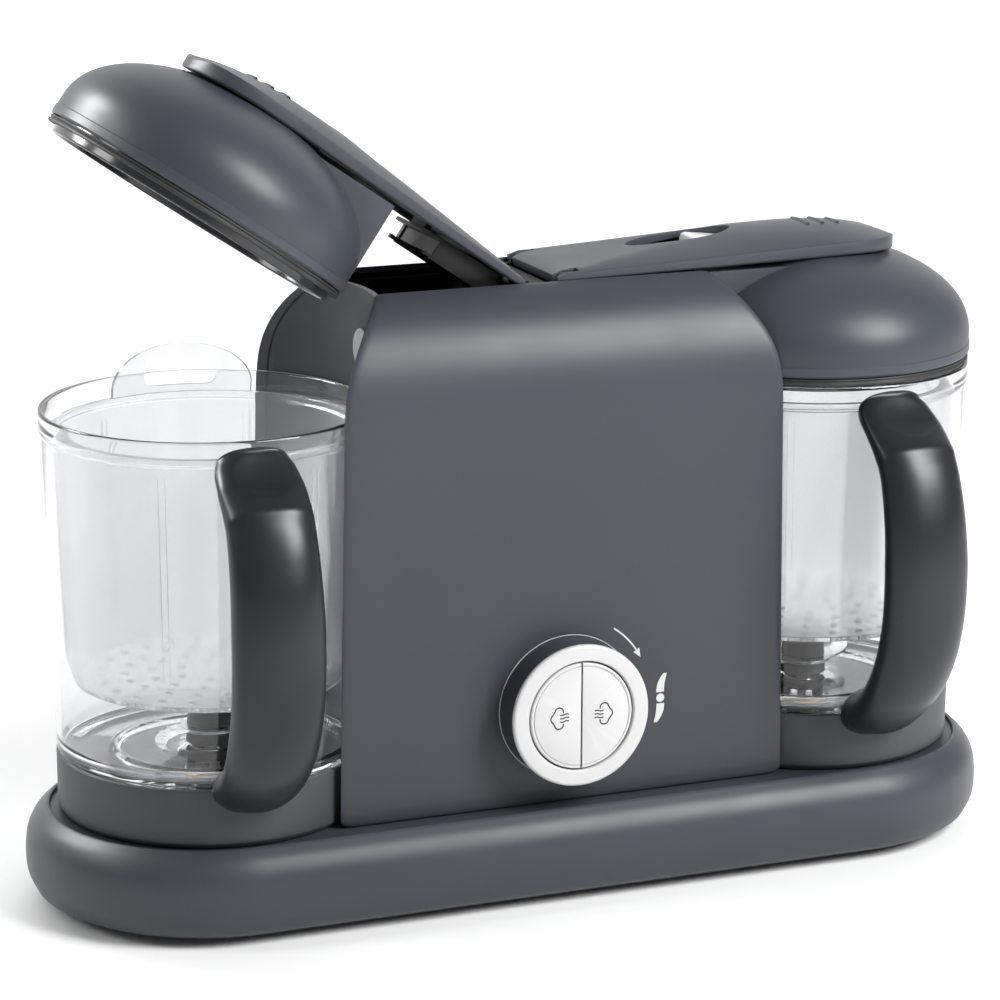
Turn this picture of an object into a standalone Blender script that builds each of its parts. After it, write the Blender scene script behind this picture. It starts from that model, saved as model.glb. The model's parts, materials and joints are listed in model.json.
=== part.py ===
"""A two-bowl baby food maker: a block with a knob between two clear jugs, on one long base.

Dimensions are in millimetres and become metres as each mesh is made. +X runs to the right, -Y
to the front and +Z up. The jugs' axes lie in the plane y = 0 of the empty named machine, which
sets the whole model back so that its box is centred on the origin. Every lid is modelled
closed; the left one is then opened by its hinge's empty.
"""

import math

import bmesh
import bpy
from mathutils import Matrix, Vector

MM = 0.001
GAP = 0.3
SET_BACK = 14.37

# Base: a stadium, 395 mm long.
JUG_X = 126.3
BASE_HALF_SPAN = 127.2
BASE_RADIUS = 70.3
BASE_WALL = 3.0
DECK_Z = 36.0
DECK_THICKNESS = 2.8
FOOT_HEIGHT = 2.7
FOOT_RADIUS = 9.0
FOOT_PLACES = ((-140, -38), (-140, 38), (140, -38), (140, 38))
SCREW_PLACES = ((-62, -46), (62, -46))
PLATE_LOW = 3.0
PLATE_HIGH = 5.2

# Block: an arch from front to back with two concave sides.
BLOCK_HALF_DEPTH = 51.5
BLOCK_STRAIGHT_Z = 188.0
BLOCK_TOP_Z = 236.0
BLOCK_ARCH_POWER = 2.5
BLOCK_LOW_Z = DECK_Z + 0.4
SIDE_RADIUS_LOW = 61.8
SIDE_RADIUS_GROWTH = 0.00974
COVER_WALL = 2.4
EDGE_TRIM = 1.5
SIDE_WALL = 2.2
OPENING_HALF_DEPTH = 26.2

# Jugs
RIM_Z = 191.9
RIM_RADIUS = 62.4
LIP_LOW_Z = 183.0
WALL_TOP_RADIUS = 61.4
WALL_LOW_RADIUS = 58.3
WALL_LOW_Z = 60.6
RING_RADIUS = 58.5
RING_TOP_Z = 59.4
JUG_STEPS = 24

# Handles: outer and inner edges in the plane through the jug's axis, as (reach, height).
HANDLE_OUTER = ((57, 190), (64, 189), (76, 183.5), (87, 174.5), (93.5, 160), (97.5, 142), (99, 122),
                (98, 103), (93.5, 85), (84, 67), (72, 54), (62, 46.5), (56, 44.5))
HANDLE_INNER = ((57, 175), (64, 173.5), (71, 169), (75, 162.5), (78, 152), (80.5, 138), (81.5, 121),
                (80.5, 106), (77.5, 91.5), (71.5, 80), (65, 71), (60, 66), (56, 64))
HANDLE_HALF_WIDTH = 14.2
HANDLE_ROUNDNESS = 3.4
HANDLE_TURN = {-1: -1.5, 1: 3.5}

# Hinges and arms
HINGE_X = 9.8
HINGE_Z = 234.9
PIN_RADIUS = 0.75
LEFT_LID_OPEN = 34.4
ARM_INNER_X = 5.8
ARM_TIP_X = 161.4
ARM_HALF_WIDTH = 25.6
ARM_ROUND_X = 128.0
ARM_CROWN = ((5.8, 236.7), (81, 245.2), (100, 246.2), (118, 246.2), (134, 244.9), (146, 242.6),
             (155, 239.9), (161.4, 237.0))
ARM_STATIONS = (5.8, 41, 81, 100, 120, 136, 147, 154.5, 159.4, 161.4)
OVAL_X = 67.0
OVAL_HALF_LENGTH = 22.0
OVAL_HALF_WIDTH = 8.5
EAR_Y = 22.0
EAR_HALF_THICKNESS = 1.5

# Lids
DOME_RADIUS = 62.4
DOME_LOW_Z = 202.9
DOME_APEX_Z = 239.0
DOME_FLAT_Z = 235.4
DOME_RISE_POWER = 1.77
DOME_PLAN_POWER = 2.11
DOME_EDGE_Z = 195.4
DOME_WALL = 2.4
NECK_HALF_WIDTH = 24.0
NECK_TOP_Z = 233.0
STEAM_Z = 208.0

# Baskets
BASKET_RADIUS = 58.4
BASKET_TOP_Z = 184.6
BASKET_LOW_Z = 87.2
GRIP_TURN = 17.0
GRIP_REACH = 56.3
GRIP_LEAN = 0.33
GRIP_THICKNESS = 1.4
GRIP_LOW_Z = 183.2
GRIP_TOP_Z = 205.0

# Knob and buttons, on an axis that points to the front
KNOB_Z = 74.7
KNOB_RADIUS = 27.8
KNOB_FRONT = 66.3
BUTTON_RADIUS = 20.8
BUTTON_FRONT = 65.9
STEM_X = 9.5

# Drive
MOTOR_Y = 8.0
DRIVE_RADIUS = 9.0
DRIVEN_RADIUS = 24.0
BELT_HEIGHT = 4.0
BELT_LOW = {-1: 14.0, 1: 22.0}
DOG_COUNT = 3
BOILER_X = 30.0

COLOURS = {
    "slate": ((0.082, 0.092, 0.105, 1), 0.42, 0.0),
    "slate_matte": ((0.088, 0.090, 0.096, 1), 0.55, 0.0),
    "black": ((0.012, 0.012, 0.013, 1), 0.45, 0.0),
    "clear": ((0.93, 0.94, 0.95, 0.3), 0.05, 0.0),
    "frosted": ((0.88, 0.89, 0.90, 0.5), 0.4, 0.0),
    "white": ((0.85, 0.85, 0.84, 1), 0.3, 0.0),
    "pale_grey": ((0.5, 0.5, 0.5, 1), 0.4, 0.0),
    "rubber": ((0.03, 0.03, 0.03, 1), 0.7, 0.0),
    "steel": ((0.6, 0.6, 0.6, 1), 0.25, 1.0),
    "brass": ((0.7, 0.55, 0.3, 1), 0.35, 1.0),
    "board": ((0.05, 0.2, 0.1, 1), 0.5, 0.0),
}
FACING = {
    "UP": Matrix.Identity(4),
    "FRONT": Matrix.Rotation(math.pi / 2, 4, "X"),
    "BACK": Matrix.Rotation(-math.pi / 2, 4, "X"),
    "RIGHT": Matrix.Rotation(math.pi / 2, 4, "Y"),
    "LEFT": Matrix.Rotation(-math.pi / 2, 4, "Y"),
}
SIDES = {-1: "left", 1: "right"}
tools_of = {}


# ---------------------------------------------------------------- scene and helpers
def clear_scene():
    for old in list(bpy.data.objects):
        bpy.data.objects.remove(old, do_unlink=True)
    for name in ("baby_food_maker", "cutters"):
        made = bpy.data.collections.new(name)
        bpy.context.scene.collection.children.link(made)
    bpy.data.collections["cutters"].hide_render = True


def material(name):
    found = bpy.data.materials.get(name)
    if found:
        return found
    made = bpy.data.materials.new(name)
    made.use_nodes = True
    shader = made.node_tree.nodes["Principled BSDF"]
    colour, roughness, metallic = COLOURS[name]
    shader.inputs["Base Color"].default_value = colour
    shader.inputs["Roughness"].default_value = roughness
    shader.inputs["Metallic"].default_value = metallic
    return made


def place(name, mesh, finish):
    """An object in the parts' collection, or among the cutters when it has no finish."""
    made = bpy.data.objects.new(name, mesh)
    home = "baby_food_maker" if finish else "cutters"
    bpy.data.collections[home].objects.link(made)
    if finish:
        mesh.materials.append(material(finish))
    else:
        made.hide_render = True
        made.display_type = "WIRE"
    return made


def mesh_object(name, shape, finish):
    mesh = bpy.data.meshes.new(name)
    shape.to_mesh(mesh)
    shape.free()
    return place(name, mesh, finish)


def block(name, low, high, finish=None):
    """A box between two corners."""
    low, high = Vector(low) * MM, Vector(high) * MM
    shape = bmesh.new()
    bmesh.ops.create_cube(shape, size=1)
    size = Vector([abs(far - near) for near, far in zip(low, high)])
    bmesh.ops.scale(shape, vec=size, verts=shape.verts)
    bmesh.ops.translate(shape, vec=(low + high) / 2, verts=shape.verts)
    return mesh_object(name, shape, finish)


def rod(name, radius, start, length, facing, finish=None, segments=24):
    """A cylinder from a start point, so long, in the way it faces."""
    shape = bmesh.new()
    bmesh.ops.create_cone(shape, cap_ends=True, segments=segments, radius1=radius * MM,
                          radius2=radius * MM, depth=length * MM)
    bmesh.ops.translate(shape, vec=(0, 0, length * MM / 2), verts=shape.verts)
    move = Matrix.Translation(Vector(start) * MM) @ FACING[facing]
    bmesh.ops.transform(shape, matrix=move, verts=shape.verts)
    return mesh_object(name, shape, finish)


def turned(name, profile, finish=None, centre=(0, 0, 0), facing="UP", steps=24):
    """A (radius, height) outline turned once round its own axis. It runs down its outer side."""
    mesh = bpy.data.meshes.new(name)
    points = [(radius * MM, 0, height * MM) for radius, height in profile]
    count = len(points)
    closed = profile[0][0] > 0 or profile[-1][0] > 0
    edges = [(i, (i + 1) % count) for i in range(count if closed else count - 1)]
    mesh.from_pydata(points, edges, [])
    made = place(name, mesh, finish)
    made.matrix_basis = Matrix.Translation(Vector(centre) * MM) @ FACING[facing]
    screw = made.modifiers.new("turn", "SCREW")
    screw.steps = screw.render_steps = steps
    screw.use_merge_vertices = True
    screw.merge_threshold = 0.00001
    return made


def loft(name, rings, finish=None):
    """A solid skin through rings of equally many points, with flat ends."""
    shape = bmesh.new()
    rows = [[shape.verts.new(Vector(point) * MM) for point in ring] for ring in rings]
    for row, following in zip(rows, rows[1:]):
        for i in range(len(row)):
            j = (i + 1) % len(row)
            shape.faces.new((row[i], row[j], following[j], following[i]))
    shape.faces.new(rows[0][::-1])
    shape.faces.new(rows[-1])
    bmesh.ops.recalc_face_normals(shape, faces=shape.faces)
    bmesh.ops.triangulate(shape, faces=shape.faces)
    return mesh_object(name, shape, finish)


def combine(piece, tool, operation):
    change = piece.modifiers.new(tool.name, "BOOLEAN")
    change.operation = operation
    change.solver = "EXACT"
    change.object = tool
    tools_of.setdefault(piece.name, []).append(tool)
    return piece


def cut(piece, *tools):
    for tool in tools:
        combine(piece, tool, "DIFFERENCE")
    return piece


def join(piece, *tools):
    for tool in tools:
        combine(piece, tool, "UNION")
    return piece


def family(piece):
    """A piece with all the tools that shape it, and the tools that shape those."""
    found = [piece]
    for tool in tools_of.get(piece.name, []):
        found += family(tool)
    return found


def pivot(name, where, pieces, opened=0.0):
    """An empty on a joint's axis. The pieces, modelled in place, ride on it."""
    empty = bpy.data.objects.new(name, None)
    bpy.data.collections["baby_food_maker"].objects.link(empty)
    empty.location = Vector(where) * MM
    empty.rotation_euler.y = math.radians(opened)
    for piece in pieces:
        for member in family(piece):
            member.parent = empty
            member.matrix_parent_inverse = Matrix.Translation(-Vector(where) * MM)
    return empty


def stadium(radius, height, half_span=BASE_HALF_SPAN, arc=8):
    """Points round a stadium whose ends are half circles."""
    points = []
    for side in (1, -1):
        for i in range(arc + 1):
            angle = math.pi * (i / arc - 0.5)
            points.append((side * (half_span + radius * math.cos(angle)),
                           side * radius * math.sin(angle), height))
    return points


def along(points, x):
    """The value at x on a line through (x, value) points."""
    for (x0, v0), (x1, v1) in zip(points, points[1:]):
        if x <= x1:
            return v0 + (v1 - v0) * (x - x0) / (x1 - x0)
    return points[-1][1]


# ---------------------------------------------------------------- base
def make_base():
    outside = ((61.0, 2.7), (66.8, 6.0), (69.6, 12), (BASE_RADIUS, 19), (69.5, 27), (66.6, 33),
               (62.2, 37.5), (60.6, 37.3), (60.0, DECK_Z))
    inside = ((58.0, 1.0), (58.0, 5.6), (66.2, 12), (BASE_RADIUS - BASE_WALL, 19), (66.0, 27),
              (59.5, DECK_Z - DECK_THICKNESS))
    shell = loft("base_shell", [stadium(*level) for level in outside], "slate")
    cut(shell, loft("base_hollow", [stadium(*level) for level in inside]))
    for x, y in SCREW_PLACES:
        boss = rod(f"boss_{x}", 5, (x, y, PLATE_HIGH + 1), 28, "UP", segments=12)
        join(shell, boss)
        cut(shell, rod(f"boss_bore_{x}", 2.1, (x, y, PLATE_HIGH), 10, "UP", segments=12))
    for side in SIDES:
        cut(shell, rod(f"spindle_hole_{side}", 8.5, (side * JUG_X, 0, 30), 10, "UP"))
    cut(shell, rod("shaft_hole", 13, (0, MOTOR_Y, 30), 10, "UP"))

    plate_rings = [stadium(57.6, PLATE_LOW), stadium(57.6, PLATE_HIGH)]
    plate = loft("base_plate", plate_rings, "black")
    pieces = [shell, plate]
    for number, (x, y) in enumerate(SCREW_PLACES, 1):
        cut(plate, rod(f"screw_hole_{x}", 2.3, (x, y, 0), 9, "UP", segments=12))
        outline = ((0, 12), (1.8, 12), (1.8, 2.7), (4, 2.7), (4, 1.0), (0, 1.0))
        pieces.append(turned(f"base_screw_{number}", outline, "steel", (x, y, 0), steps=12))
    for number, (x, y) in enumerate(FOOT_PLACES, 1):
        outline = ((0, FOOT_HEIGHT), (FOOT_RADIUS, FOOT_HEIGHT), (FOOT_RADIUS, 1),
                   (FOOT_RADIUS - 1, 0), (0, 0))
        pieces.append(turned(f"foot_{number}", outline, "rubber", (x, y, 0), steps=16))
    return pieces


# ---------------------------------------------------------------- block
def side_radius(z):
    """Radius, about a jug's axis, of the block's concave side."""
    return SIDE_RADIUS_LOW + (z - DECK_Z) * SIDE_RADIUS_GROWTH


def block_half_width(y, z):
    return JUG_X - math.sqrt(side_radius(z) ** 2 - y ** 2)


def arch(steps):
    """(depth, height) points from the cover's low edge up to the opening under the arms."""
    end = math.acos((OPENING_HALF_DEPTH / BLOCK_HALF_DEPTH) ** (BLOCK_ARCH_POWER / 2))
    points = [(BLOCK_HALF_DEPTH, BLOCK_LOW_Z), (BLOCK_HALF_DEPTH, 110)]
    for i in range(steps + 1):
        angle = end * i / steps
        depth = BLOCK_HALF_DEPTH * math.cos(angle) ** (2 / BLOCK_ARCH_POWER)
        rise = (BLOCK_TOP_Z - BLOCK_STRAIGHT_Z) * math.sin(angle) ** (2 / BLOCK_ARCH_POWER)
        points.append((depth, BLOCK_STRAIGHT_Z + rise))
    return points


def block_half_depth(z, inset=0.0):
    """Half the block's depth at a height, measured to a surface so far inside its arch."""
    half = BLOCK_HALF_DEPTH - inset
    if z <= BLOCK_STRAIGHT_Z:
        return half
    rise = (z - BLOCK_STRAIGHT_Z) / (BLOCK_TOP_Z - inset - BLOCK_STRAIGHT_Z)
    return half * (1 - rise ** BLOCK_ARCH_POWER) ** (1 / BLOCK_ARCH_POWER)


def make_cover(name, facing):
    """One arched skin across the block: facing is -1 for the front and 1 for the rear."""
    shape = bmesh.new()
    rows = []
    for depth, z in arch(8):
        half = block_half_width(depth, z) + EDGE_TRIM
        rows.append([shape.verts.new((part * half * MM, facing * depth * MM, z * MM))
                     for part in (-1, 0, 1)])
    for row, following in zip(rows, rows[1:]):
        for i in range(len(row) - 1):
            corners = (row[i], row[i + 1], following[i + 1], following[i])
            shape.faces.new(corners if facing < 0 else corners[::-1])
    cover = mesh_object(name, shape, "slate")
    skin = cover.modifiers.new("thickness", "SOLIDIFY")
    skin.thickness = COVER_WALL * MM
    skin.offset = -1
    skin.use_even_offset = True
    for side in SIDES:
        space = ((0, 245), (side_radius(245), 245), (side_radius(30), 30), (0, 30))
        cut(cover, turned(f"side_space_{name}_{side}", space, None, (side * JUG_X, 0, 0), steps=48))
    return cover


def make_side_wall(side):
    rings = []
    for z in (BLOCK_LOW_Z, 188, 205, 218, 226, 231):
        depth = block_half_depth(z, COVER_WALL + 0.6)
        ring = []
        for radius, turn in ((side_radius(z), 1), (side_radius(z) + SIDE_WALL, -1)):
            reach = math.asin(depth / radius)
            for i in range(9):
                angle = turn * reach * (i / 4 - 1)
                ring.append((side * (JUG_X - radius * math.cos(angle)),
                             radius * math.sin(angle), z))
        rings.append(ring)
    name = SIDES[side]
    wall = loft(f"side_wall_{name}", rings, "slate")
    start = (side * 50, 0, STEAM_Z)
    facing = name.upper()
    cut(wall, rod(f"nozzle_hole_{name}", 5.0, start, 20, facing, segments=16))
    nozzle = turned(f"steam_nozzle_{name}",
                    ((2.8, 64.8), (6.6, 64.8), (7.2, 64.2), (7.2, 63.6), (4.5, 63.6), (4.5, 53),
                     (2.8, 53)), "pale_grey", (0, 0, STEAM_Z), facing, 12)
    return [wall, nozzle]


def make_top_deck():
    deck = block("top_deck", (-59.5, -25.2, 219.5), (59.5, 25.2, 221.5), "black")
    for end in (-1, 1):
        upstand = block(f"upstand_{end}", (-59.3, end * 23.2, 220.1), (59.3, end * 25, 230.2))
        join(deck, upstand)
        ear_y = end * EAR_Y
        low = (-HINGE_X - 1.8, ear_y - EAR_HALF_THICKNESS, 221)
        high = (HINGE_X + 1.8, ear_y + EAR_HALF_THICKNESS, HINGE_Z - 0.2)
        join(deck, block(f"ears_{end}", low, high))
        between = block(f"ear_gap_{end}", (-5.4, ear_y - 3, 233), (5.4, ear_y + 3, 240))
        cut(deck, between)
    join(deck, block("spine", (-4.4, -23.9, 220.7), (4.4, 23.9, 232.4)))
    for side in SIDES:
        start = (side * BOILER_X, 0, 212.4)
        join(deck, rod(f"spout_{side}", 7.6, start, 8, "UP", segments=12))
        cut(deck, rod(f"filler_{side}", 6.0, (side * BOILER_X, 0, 210), 16, "UP", segments=12))
        for end in (-1, 1):
            start = (side * HINGE_X, end * EAR_Y - EAR_HALF_THICKNESS - 0.1, HINGE_Z)
            tip = rod(f"ear_top_{side}_{end}", 1.8, start, 2 * EAR_HALF_THICKNESS + 0.2, "BACK",
                      segments=12)
            join(deck, tip)
        cut(deck, rod(f"pin_bore_{side}", PIN_RADIUS + 0.25, (side * HINGE_X, -30, HINGE_Z), 60,
                      "BACK", segments=12))
    return deck


def make_inside():
    """What the block holds: the motor, the boilers, the switch board and the mains gland."""
    outline = ((0, 113), (9, 113), (9, 110), (27, 110), (29, 106), (29, 52), (26, 46.3), (0, 46.3))
    motor = turned("motor", outline, "steel", (0, MOTOR_Y, 0), steps=20)
    pieces = [motor]
    for side, name in SIDES.items():
        outline = ((0, 127.2), (17, 127.2), (19.8, 131), (19.8, 196), (5, 203.5), (5, 212),
                   (7, 212), (7, 205.5), (22, 198), (22, 130), (18, 125), (0, 125))
        centre = (side * BOILER_X, 0, 0)
        pieces.append(turned(f"boiler_{name}", outline, "steel", centre, steps=14))
    pieces.append(block("control_board", (-24, -44.5, 54), (24, -42.9, 96), "board"))
    gland = turned("cord_gland", ((3.2, 57), (6, 57), (8, 54.5), (8, 51.9), (5, 51.9), (5, 46),
                                  (3.2, 46)), "black", (45, 0, 52), "BACK", 20)
    pieces.append(gland)
    return pieces


def make_block():
    front = make_cover("front_cover", -1)
    cut(front, rod("knob_hole", 24.7, (0, -60, KNOB_Z), 20, "BACK", segments=28))
    rear = make_cover("rear_cover", 1)
    cut(rear, rod("gland_hole", 5.4, (45, 40, 52), 20, "BACK", segments=20))
    pieces = [front, rear, make_top_deck()]
    for side, name in SIDES.items():
        pieces += make_side_wall(side)
        pin = rod(f"hinge_pin_{name}", PIN_RADIUS, (side * HINGE_X, -23.6, HINGE_Z), 47.2, "BACK",
                  "steel", 12)
        pieces.append(pin)
    return pieces + make_inside()


# ---------------------------------------------------------------- knob and buttons
def make_knob():
    sleeve = turned("knob_sleeve", ((21.3, 63.6), (27.6, 63.6), (27.6, 51.9), (24.0, 51.9),
                                    (24.0, 46.2), (21.3, 46.2)), "slate", (0, 0, KNOB_Z), "FRONT",
                    24)
    ring = turned("knob_ring", ((21.3, 65.9), (21.9, KNOB_FRONT), (27.2, KNOB_FRONT),
                                (KNOB_RADIUS, 65.7), (KNOB_RADIUS, 63.9), (21.3, 63.9)), "white",
                  (0, 0, KNOB_Z), "FRONT", 28)
    return [sleeve, ring]


def make_button(side, name):
    """Half a disc with a stem behind it."""
    disc = turned(f"steam_button_{name}", ((0, BUTTON_FRONT), (20.3, BUTTON_FRONT),
                                           (BUTTON_RADIUS, 65.4), (BUTTON_RADIUS, 60.4), (0, 60.4)),
                  "white", (0, 0, KNOB_Z), "FRONT", 28)
    low = (-side * 30, -80, KNOB_Z - 30)
    high = (side * GAP, -40, KNOB_Z + 30)
    cut(disc, block(f"button_split_{name}", low, high))
    stem = rod(f"stem_{name}", 2.6, (side * STEM_X, -62, KNOB_Z), 15, "BACK", segments=12)
    return join(disc, stem)


def make_spring(side, name):
    """A wire coil round the button's stem."""
    turns, per_turn, radius, start, length = 3, 7, 4.4, -59.5, 14.0
    path = bpy.data.curves.new(f"button_spring_{name}", "CURVE")
    path.dimensions = "3D"
    path.bevel_depth = 0.45 * MM
    path.bevel_resolution = 1
    path.use_fill_caps = True
    count = int(turns * per_turn) + 1
    line = path.splines.new("POLY")
    line.points.add(count - 1)
    for i, point in enumerate(line.points):
        angle = 2 * math.pi * i / per_turn
        where = Vector((side * STEM_X + radius * math.cos(angle), start + length * i / (count - 1),
                        KNOB_Z + radius * math.sin(angle)))
        point.co = (*(where * MM), 1)
    return place(path.name, path, "steel")


# ---------------------------------------------------------------- drive
def tangent_loop(side, extra, z):
    """The outline of a belt round the small and the large pulley, so far outside them."""
    near, far = Vector((0, MOTOR_Y)), Vector((side * JUG_X, 0))
    run = far - near
    heading = math.atan2(run.y, run.x)
    small, large = DRIVE_RADIUS + extra, DRIVEN_RADIUS + extra
    lean = math.asin((large - small) / run.length)
    points = []
    for centre, radius, start, sweep, count in (
            (far, large, heading - math.pi / 2 - lean, math.pi + 2 * lean, 16),
            (near, small, heading + math.pi / 2 + lean, math.pi - 2 * lean, 8)):
        for i in range(count + 1):
            angle = start + sweep * i / count
            points.append((centre.x + radius * math.cos(angle), centre.y + radius * math.sin(angle),
                           z))
    return points


def make_belt(side, name):
    low = BELT_LOW[side]
    high = low + BELT_HEIGHT
    belt = loft(f"belt_{name}", [tangent_loop(side, 1.8, low), tangent_loop(side, 1.8, high)],
                "rubber")
    inner = [tangent_loop(side, GAP, low - 1), tangent_loop(side, GAP, high + 1)]
    return cut(belt, loft(f"belt_inside_{name}", inner))


def make_drive_pulley():
    outline = [(0, 45.9), (3, 45.9), (3, 28.5)]
    for side in (1, -1):
        low, high = BELT_LOW[side] - 0.6, BELT_LOW[side] + BELT_HEIGHT + 0.6
        outline += [(10.8, high + 1.2), (DRIVE_RADIUS, high), (DRIVE_RADIUS, low),
                    (10.8, low - 1.2)]
    outline += [(3, 11.5), (3, 9), (0, 9)]
    return turned("drive_pulley", outline, "steel", (0, MOTOR_Y, 0), steps=16)


def dogs(piece, low, high, start):
    """Clutch teeth round an axis."""
    for i in range(DOG_COUNT):
        angle = start + 2 * math.pi * i / DOG_COUNT
        centre = piece.matrix_basis.translation / MM
        tooth = block(f"{piece.name}_dog_{i}", (6.0, -1.4, low), (9.4, 1.4, high))
        tooth.matrix_basis = (Matrix.Translation(centre * MM) @ Matrix.Rotation(angle, 4, "Z"))
        join(piece, tooth)
    return piece


def make_coupler(side, name):
    low, high = BELT_LOW[side] - 0.5, BELT_LOW[side] + BELT_HEIGHT + 0.5
    outline = ((0, 46.9), (10, 46.9), (10, 43), (4, 43), (4, high), (DRIVEN_RADIUS, high),
               (DRIVEN_RADIUS, low), (4, low), (4, 10.5), (0, 10.5))
    coupler = turned(f"coupler_{name}", outline, "steel", (side * JUG_X, 0, 0), steps=20)
    return dogs(coupler, 46, 51.7, 0)


def make_bush(side, name):
    outline = ((4.4, 41.8), (8, 41.8), (8, 38.4), (11, 38.4), (11, 36.4), (8, 36.4), (8, 29),
               (4.4, 29))
    return turned(f"spindle_bush_{name}", outline, "brass", (side * JUG_X, 0, 0), steps=12)


# ---------------------------------------------------------------- jugs
def make_bowl(side, name):
    outline = ((60.2, RIM_Z), (RIM_RADIUS, RIM_Z), (RIM_RADIUS, LIP_LOW_Z + 0.4),
               (WALL_TOP_RADIUS, LIP_LOW_Z - 0.4), (WALL_LOW_RADIUS, WALL_LOW_Z), (56.0, 59.8),
               (56.0, 56.5), (6.5, 56.5), (6.5, 61.0), (20, 60.5), (50, 60.2), (55.9, 66),
               (59.0, LIP_LOW_Z))
    return turned(f"jug_bowl_{name}", outline, "clear", (side * JUG_X, 0, 0), steps=JUG_STEPS)


def make_ring(side, name):
    outline = ((56.5, RING_TOP_Z), (RING_RADIUS, RING_TOP_Z), (58.4, 38.5),
               (56.4, DECK_Z + GAP), (50, DECK_Z + GAP), (54.8, 40.6), (54.8, 56.1),
               (56.5, 56.1))
    return turned(f"jug_ring_{name}", outline, "slate_matte", (side * JUG_X, 0, 0),
                  steps=JUG_STEPS)


def squircle(count, roundness):
    """Unit points round a rounded rectangle."""
    points = []
    for i in range(count):
        angle = 2 * math.pi * (i + 0.5) / count
        points.append([math.copysign(abs(part) ** (2 / roundness), part)
                       for part in (math.cos(angle), math.sin(angle))])
    return points


def make_handle(side, name):
    turn = Matrix.Rotation(math.radians(HANDLE_TURN[side]), 3, "Z")
    rings = []
    for outer, inner in zip(HANDLE_OUTER, HANDLE_INNER):
        ring = []
        for across, out in squircle(16, HANDLE_ROUNDNESS):
            part = (out + 1) / 2
            reach = inner[0] + (outer[0] - inner[0]) * part
            height = inner[1] + (outer[1] - inner[1]) * part
            point = turn @ Vector((across * HANDLE_HALF_WIDTH, -reach, height))
            ring.append(point + Vector((side * JUG_X, 0, 0)))
        rings.append(ring)
    handle = loft(f"jug_handle_{name}", rings, "slate")
    clear_of_jug = turned(f"jug_space_{name}",
                          ((0, 205), (RIM_RADIUS + GAP, 205), (RIM_RADIUS + GAP, LIP_LOW_Z),
                           (WALL_TOP_RADIUS + GAP, LIP_LOW_Z - 1), (WALL_LOW_RADIUS + 0.5, 61),
                           (RING_RADIUS + GAP, 58), (RING_RADIUS + GAP, 30), (0, 30)), None,
                          (side * JUG_X, 0, 0), steps=JUG_STEPS)
    return cut(handle, clear_of_jug)


def make_hub(side, name):
    outline = ((0, 76.6), (4.5, 76.2), (8.2, 74.4), (8.8, 68.4), (6.0, 68.4), (6.0, 66.2),
               (9.0, 66.2), (9.2, 61.4), (6.0, 61.4), (6.0, 56.1), (9.2, 56.1), (9.2, 52.1),
               (0, 52.1))
    hub = turned(f"blade_hub_{name}", outline, "black", (side * JUG_X, 0, 0), steps=14)
    return dogs(hub, 47.3, 53, math.pi / DOG_COUNT)


def make_blades(side, name):
    """A steel plate round the hub's groove, with two curved wings."""
    plate = turned(f"blades_{name}", ((6.3, 67.9), (11, 67.9), (11, 66.7), (6.3, 66.7)), "steel",
                   (side * JUG_X, 0, 0), steps=16)
    for wing, tilt in ((0, 0.10), (1, -0.04)):
        rings = []
        for i in range(7):
            part = i / 6
            reach = 9 + 24 * part
            angle = math.pi * wing + 0.75 * part ** 1.3
            width = 5.5 * (1 - 0.75 * part ** 1.5)
            rise = 67.3 + tilt * (reach - 9)
            along_wing = Vector((math.cos(angle), math.sin(angle), 0))
            across_wing = Vector((-along_wing.y, along_wing.x, 0))
            middle = Vector((side * JUG_X, 0, rise)) + along_wing * reach
            ring = [middle + across_wing * width * u + Vector((0, 0, v))
                    for u, v in ((-1, -0.5), (1, -0.12), (1, 0.12), (-1, 0.5))]
            rings.append(ring)
        join(plate, loft(f"wing_{name}_{wing}", rings))
    return plate


def make_basket(side, name):
    outline = ((0, 89), (49.5, 89), (52.4, 97), (55.6, BASKET_TOP_Z),
               (BASKET_RADIUS, BASKET_TOP_Z), (BASKET_RADIUS, 182), (57.2, 181), (54.0, 97),
               (50.5, BASKET_LOW_Z), (0, BASKET_LOW_Z))
    basket = turned(f"steam_basket_{name}", outline, "frosted", (side * JUG_X, 0, 0),
                    steps=JUG_STEPS)
    for i in range(6):
        angle = math.pi * (i + 0.37) / 3
        where = (side * JUG_X + 34 * math.cos(angle), 34 * math.sin(angle), 80)
        cut(basket, rod(f"drain_{name}_{i}", 2.4, where, 20, "UP", segments=6))
    turn = (Matrix.Translation(Vector((side * JUG_X, 0, 0)) * MM)
            @ Matrix.Rotation(math.radians(side * GRIP_TURN), 4, "Z"))
    grip = loft(f"grip_{name}", grip_rings())
    hole = loft(f"grip_hole_{name}", [grip_hole(GRIP_REACH - 9), grip_hole(GRIP_REACH + 9)])
    grip.matrix_basis = turn
    hole.matrix_basis = turn
    cut(grip, hole)
    return join(basket, grip)


def grip_half_width(part):
    """Half the width of the basket's grip, from its foot at 0 to its rounded top at 1."""
    return 28 * math.sqrt(1 - max(0.0, part - 0.25) ** 2 / 0.58)


def grip_rings():
    """Level slices of a plate that follows the basket's rim and leans inwards as it rises."""
    rings = []
    for i in range(8):
        part = i / 7
        z = GRIP_LOW_Z + (GRIP_TOP_Z - GRIP_LOW_Z) * part
        radius = GRIP_REACH - GRIP_LEAN * (z - GRIP_LOW_Z)
        spread = grip_half_width(part) / radius
        ring = []
        for reach, turn in ((radius, 1), (radius + GRIP_THICKNESS, -1)):
            for k in range(9):
                angle = math.pi / 2 + turn * spread * (k / 4 - 1)
                ring.append((reach * math.cos(angle), reach * math.sin(angle), z))
        rings.append(ring)
    return rings


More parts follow.
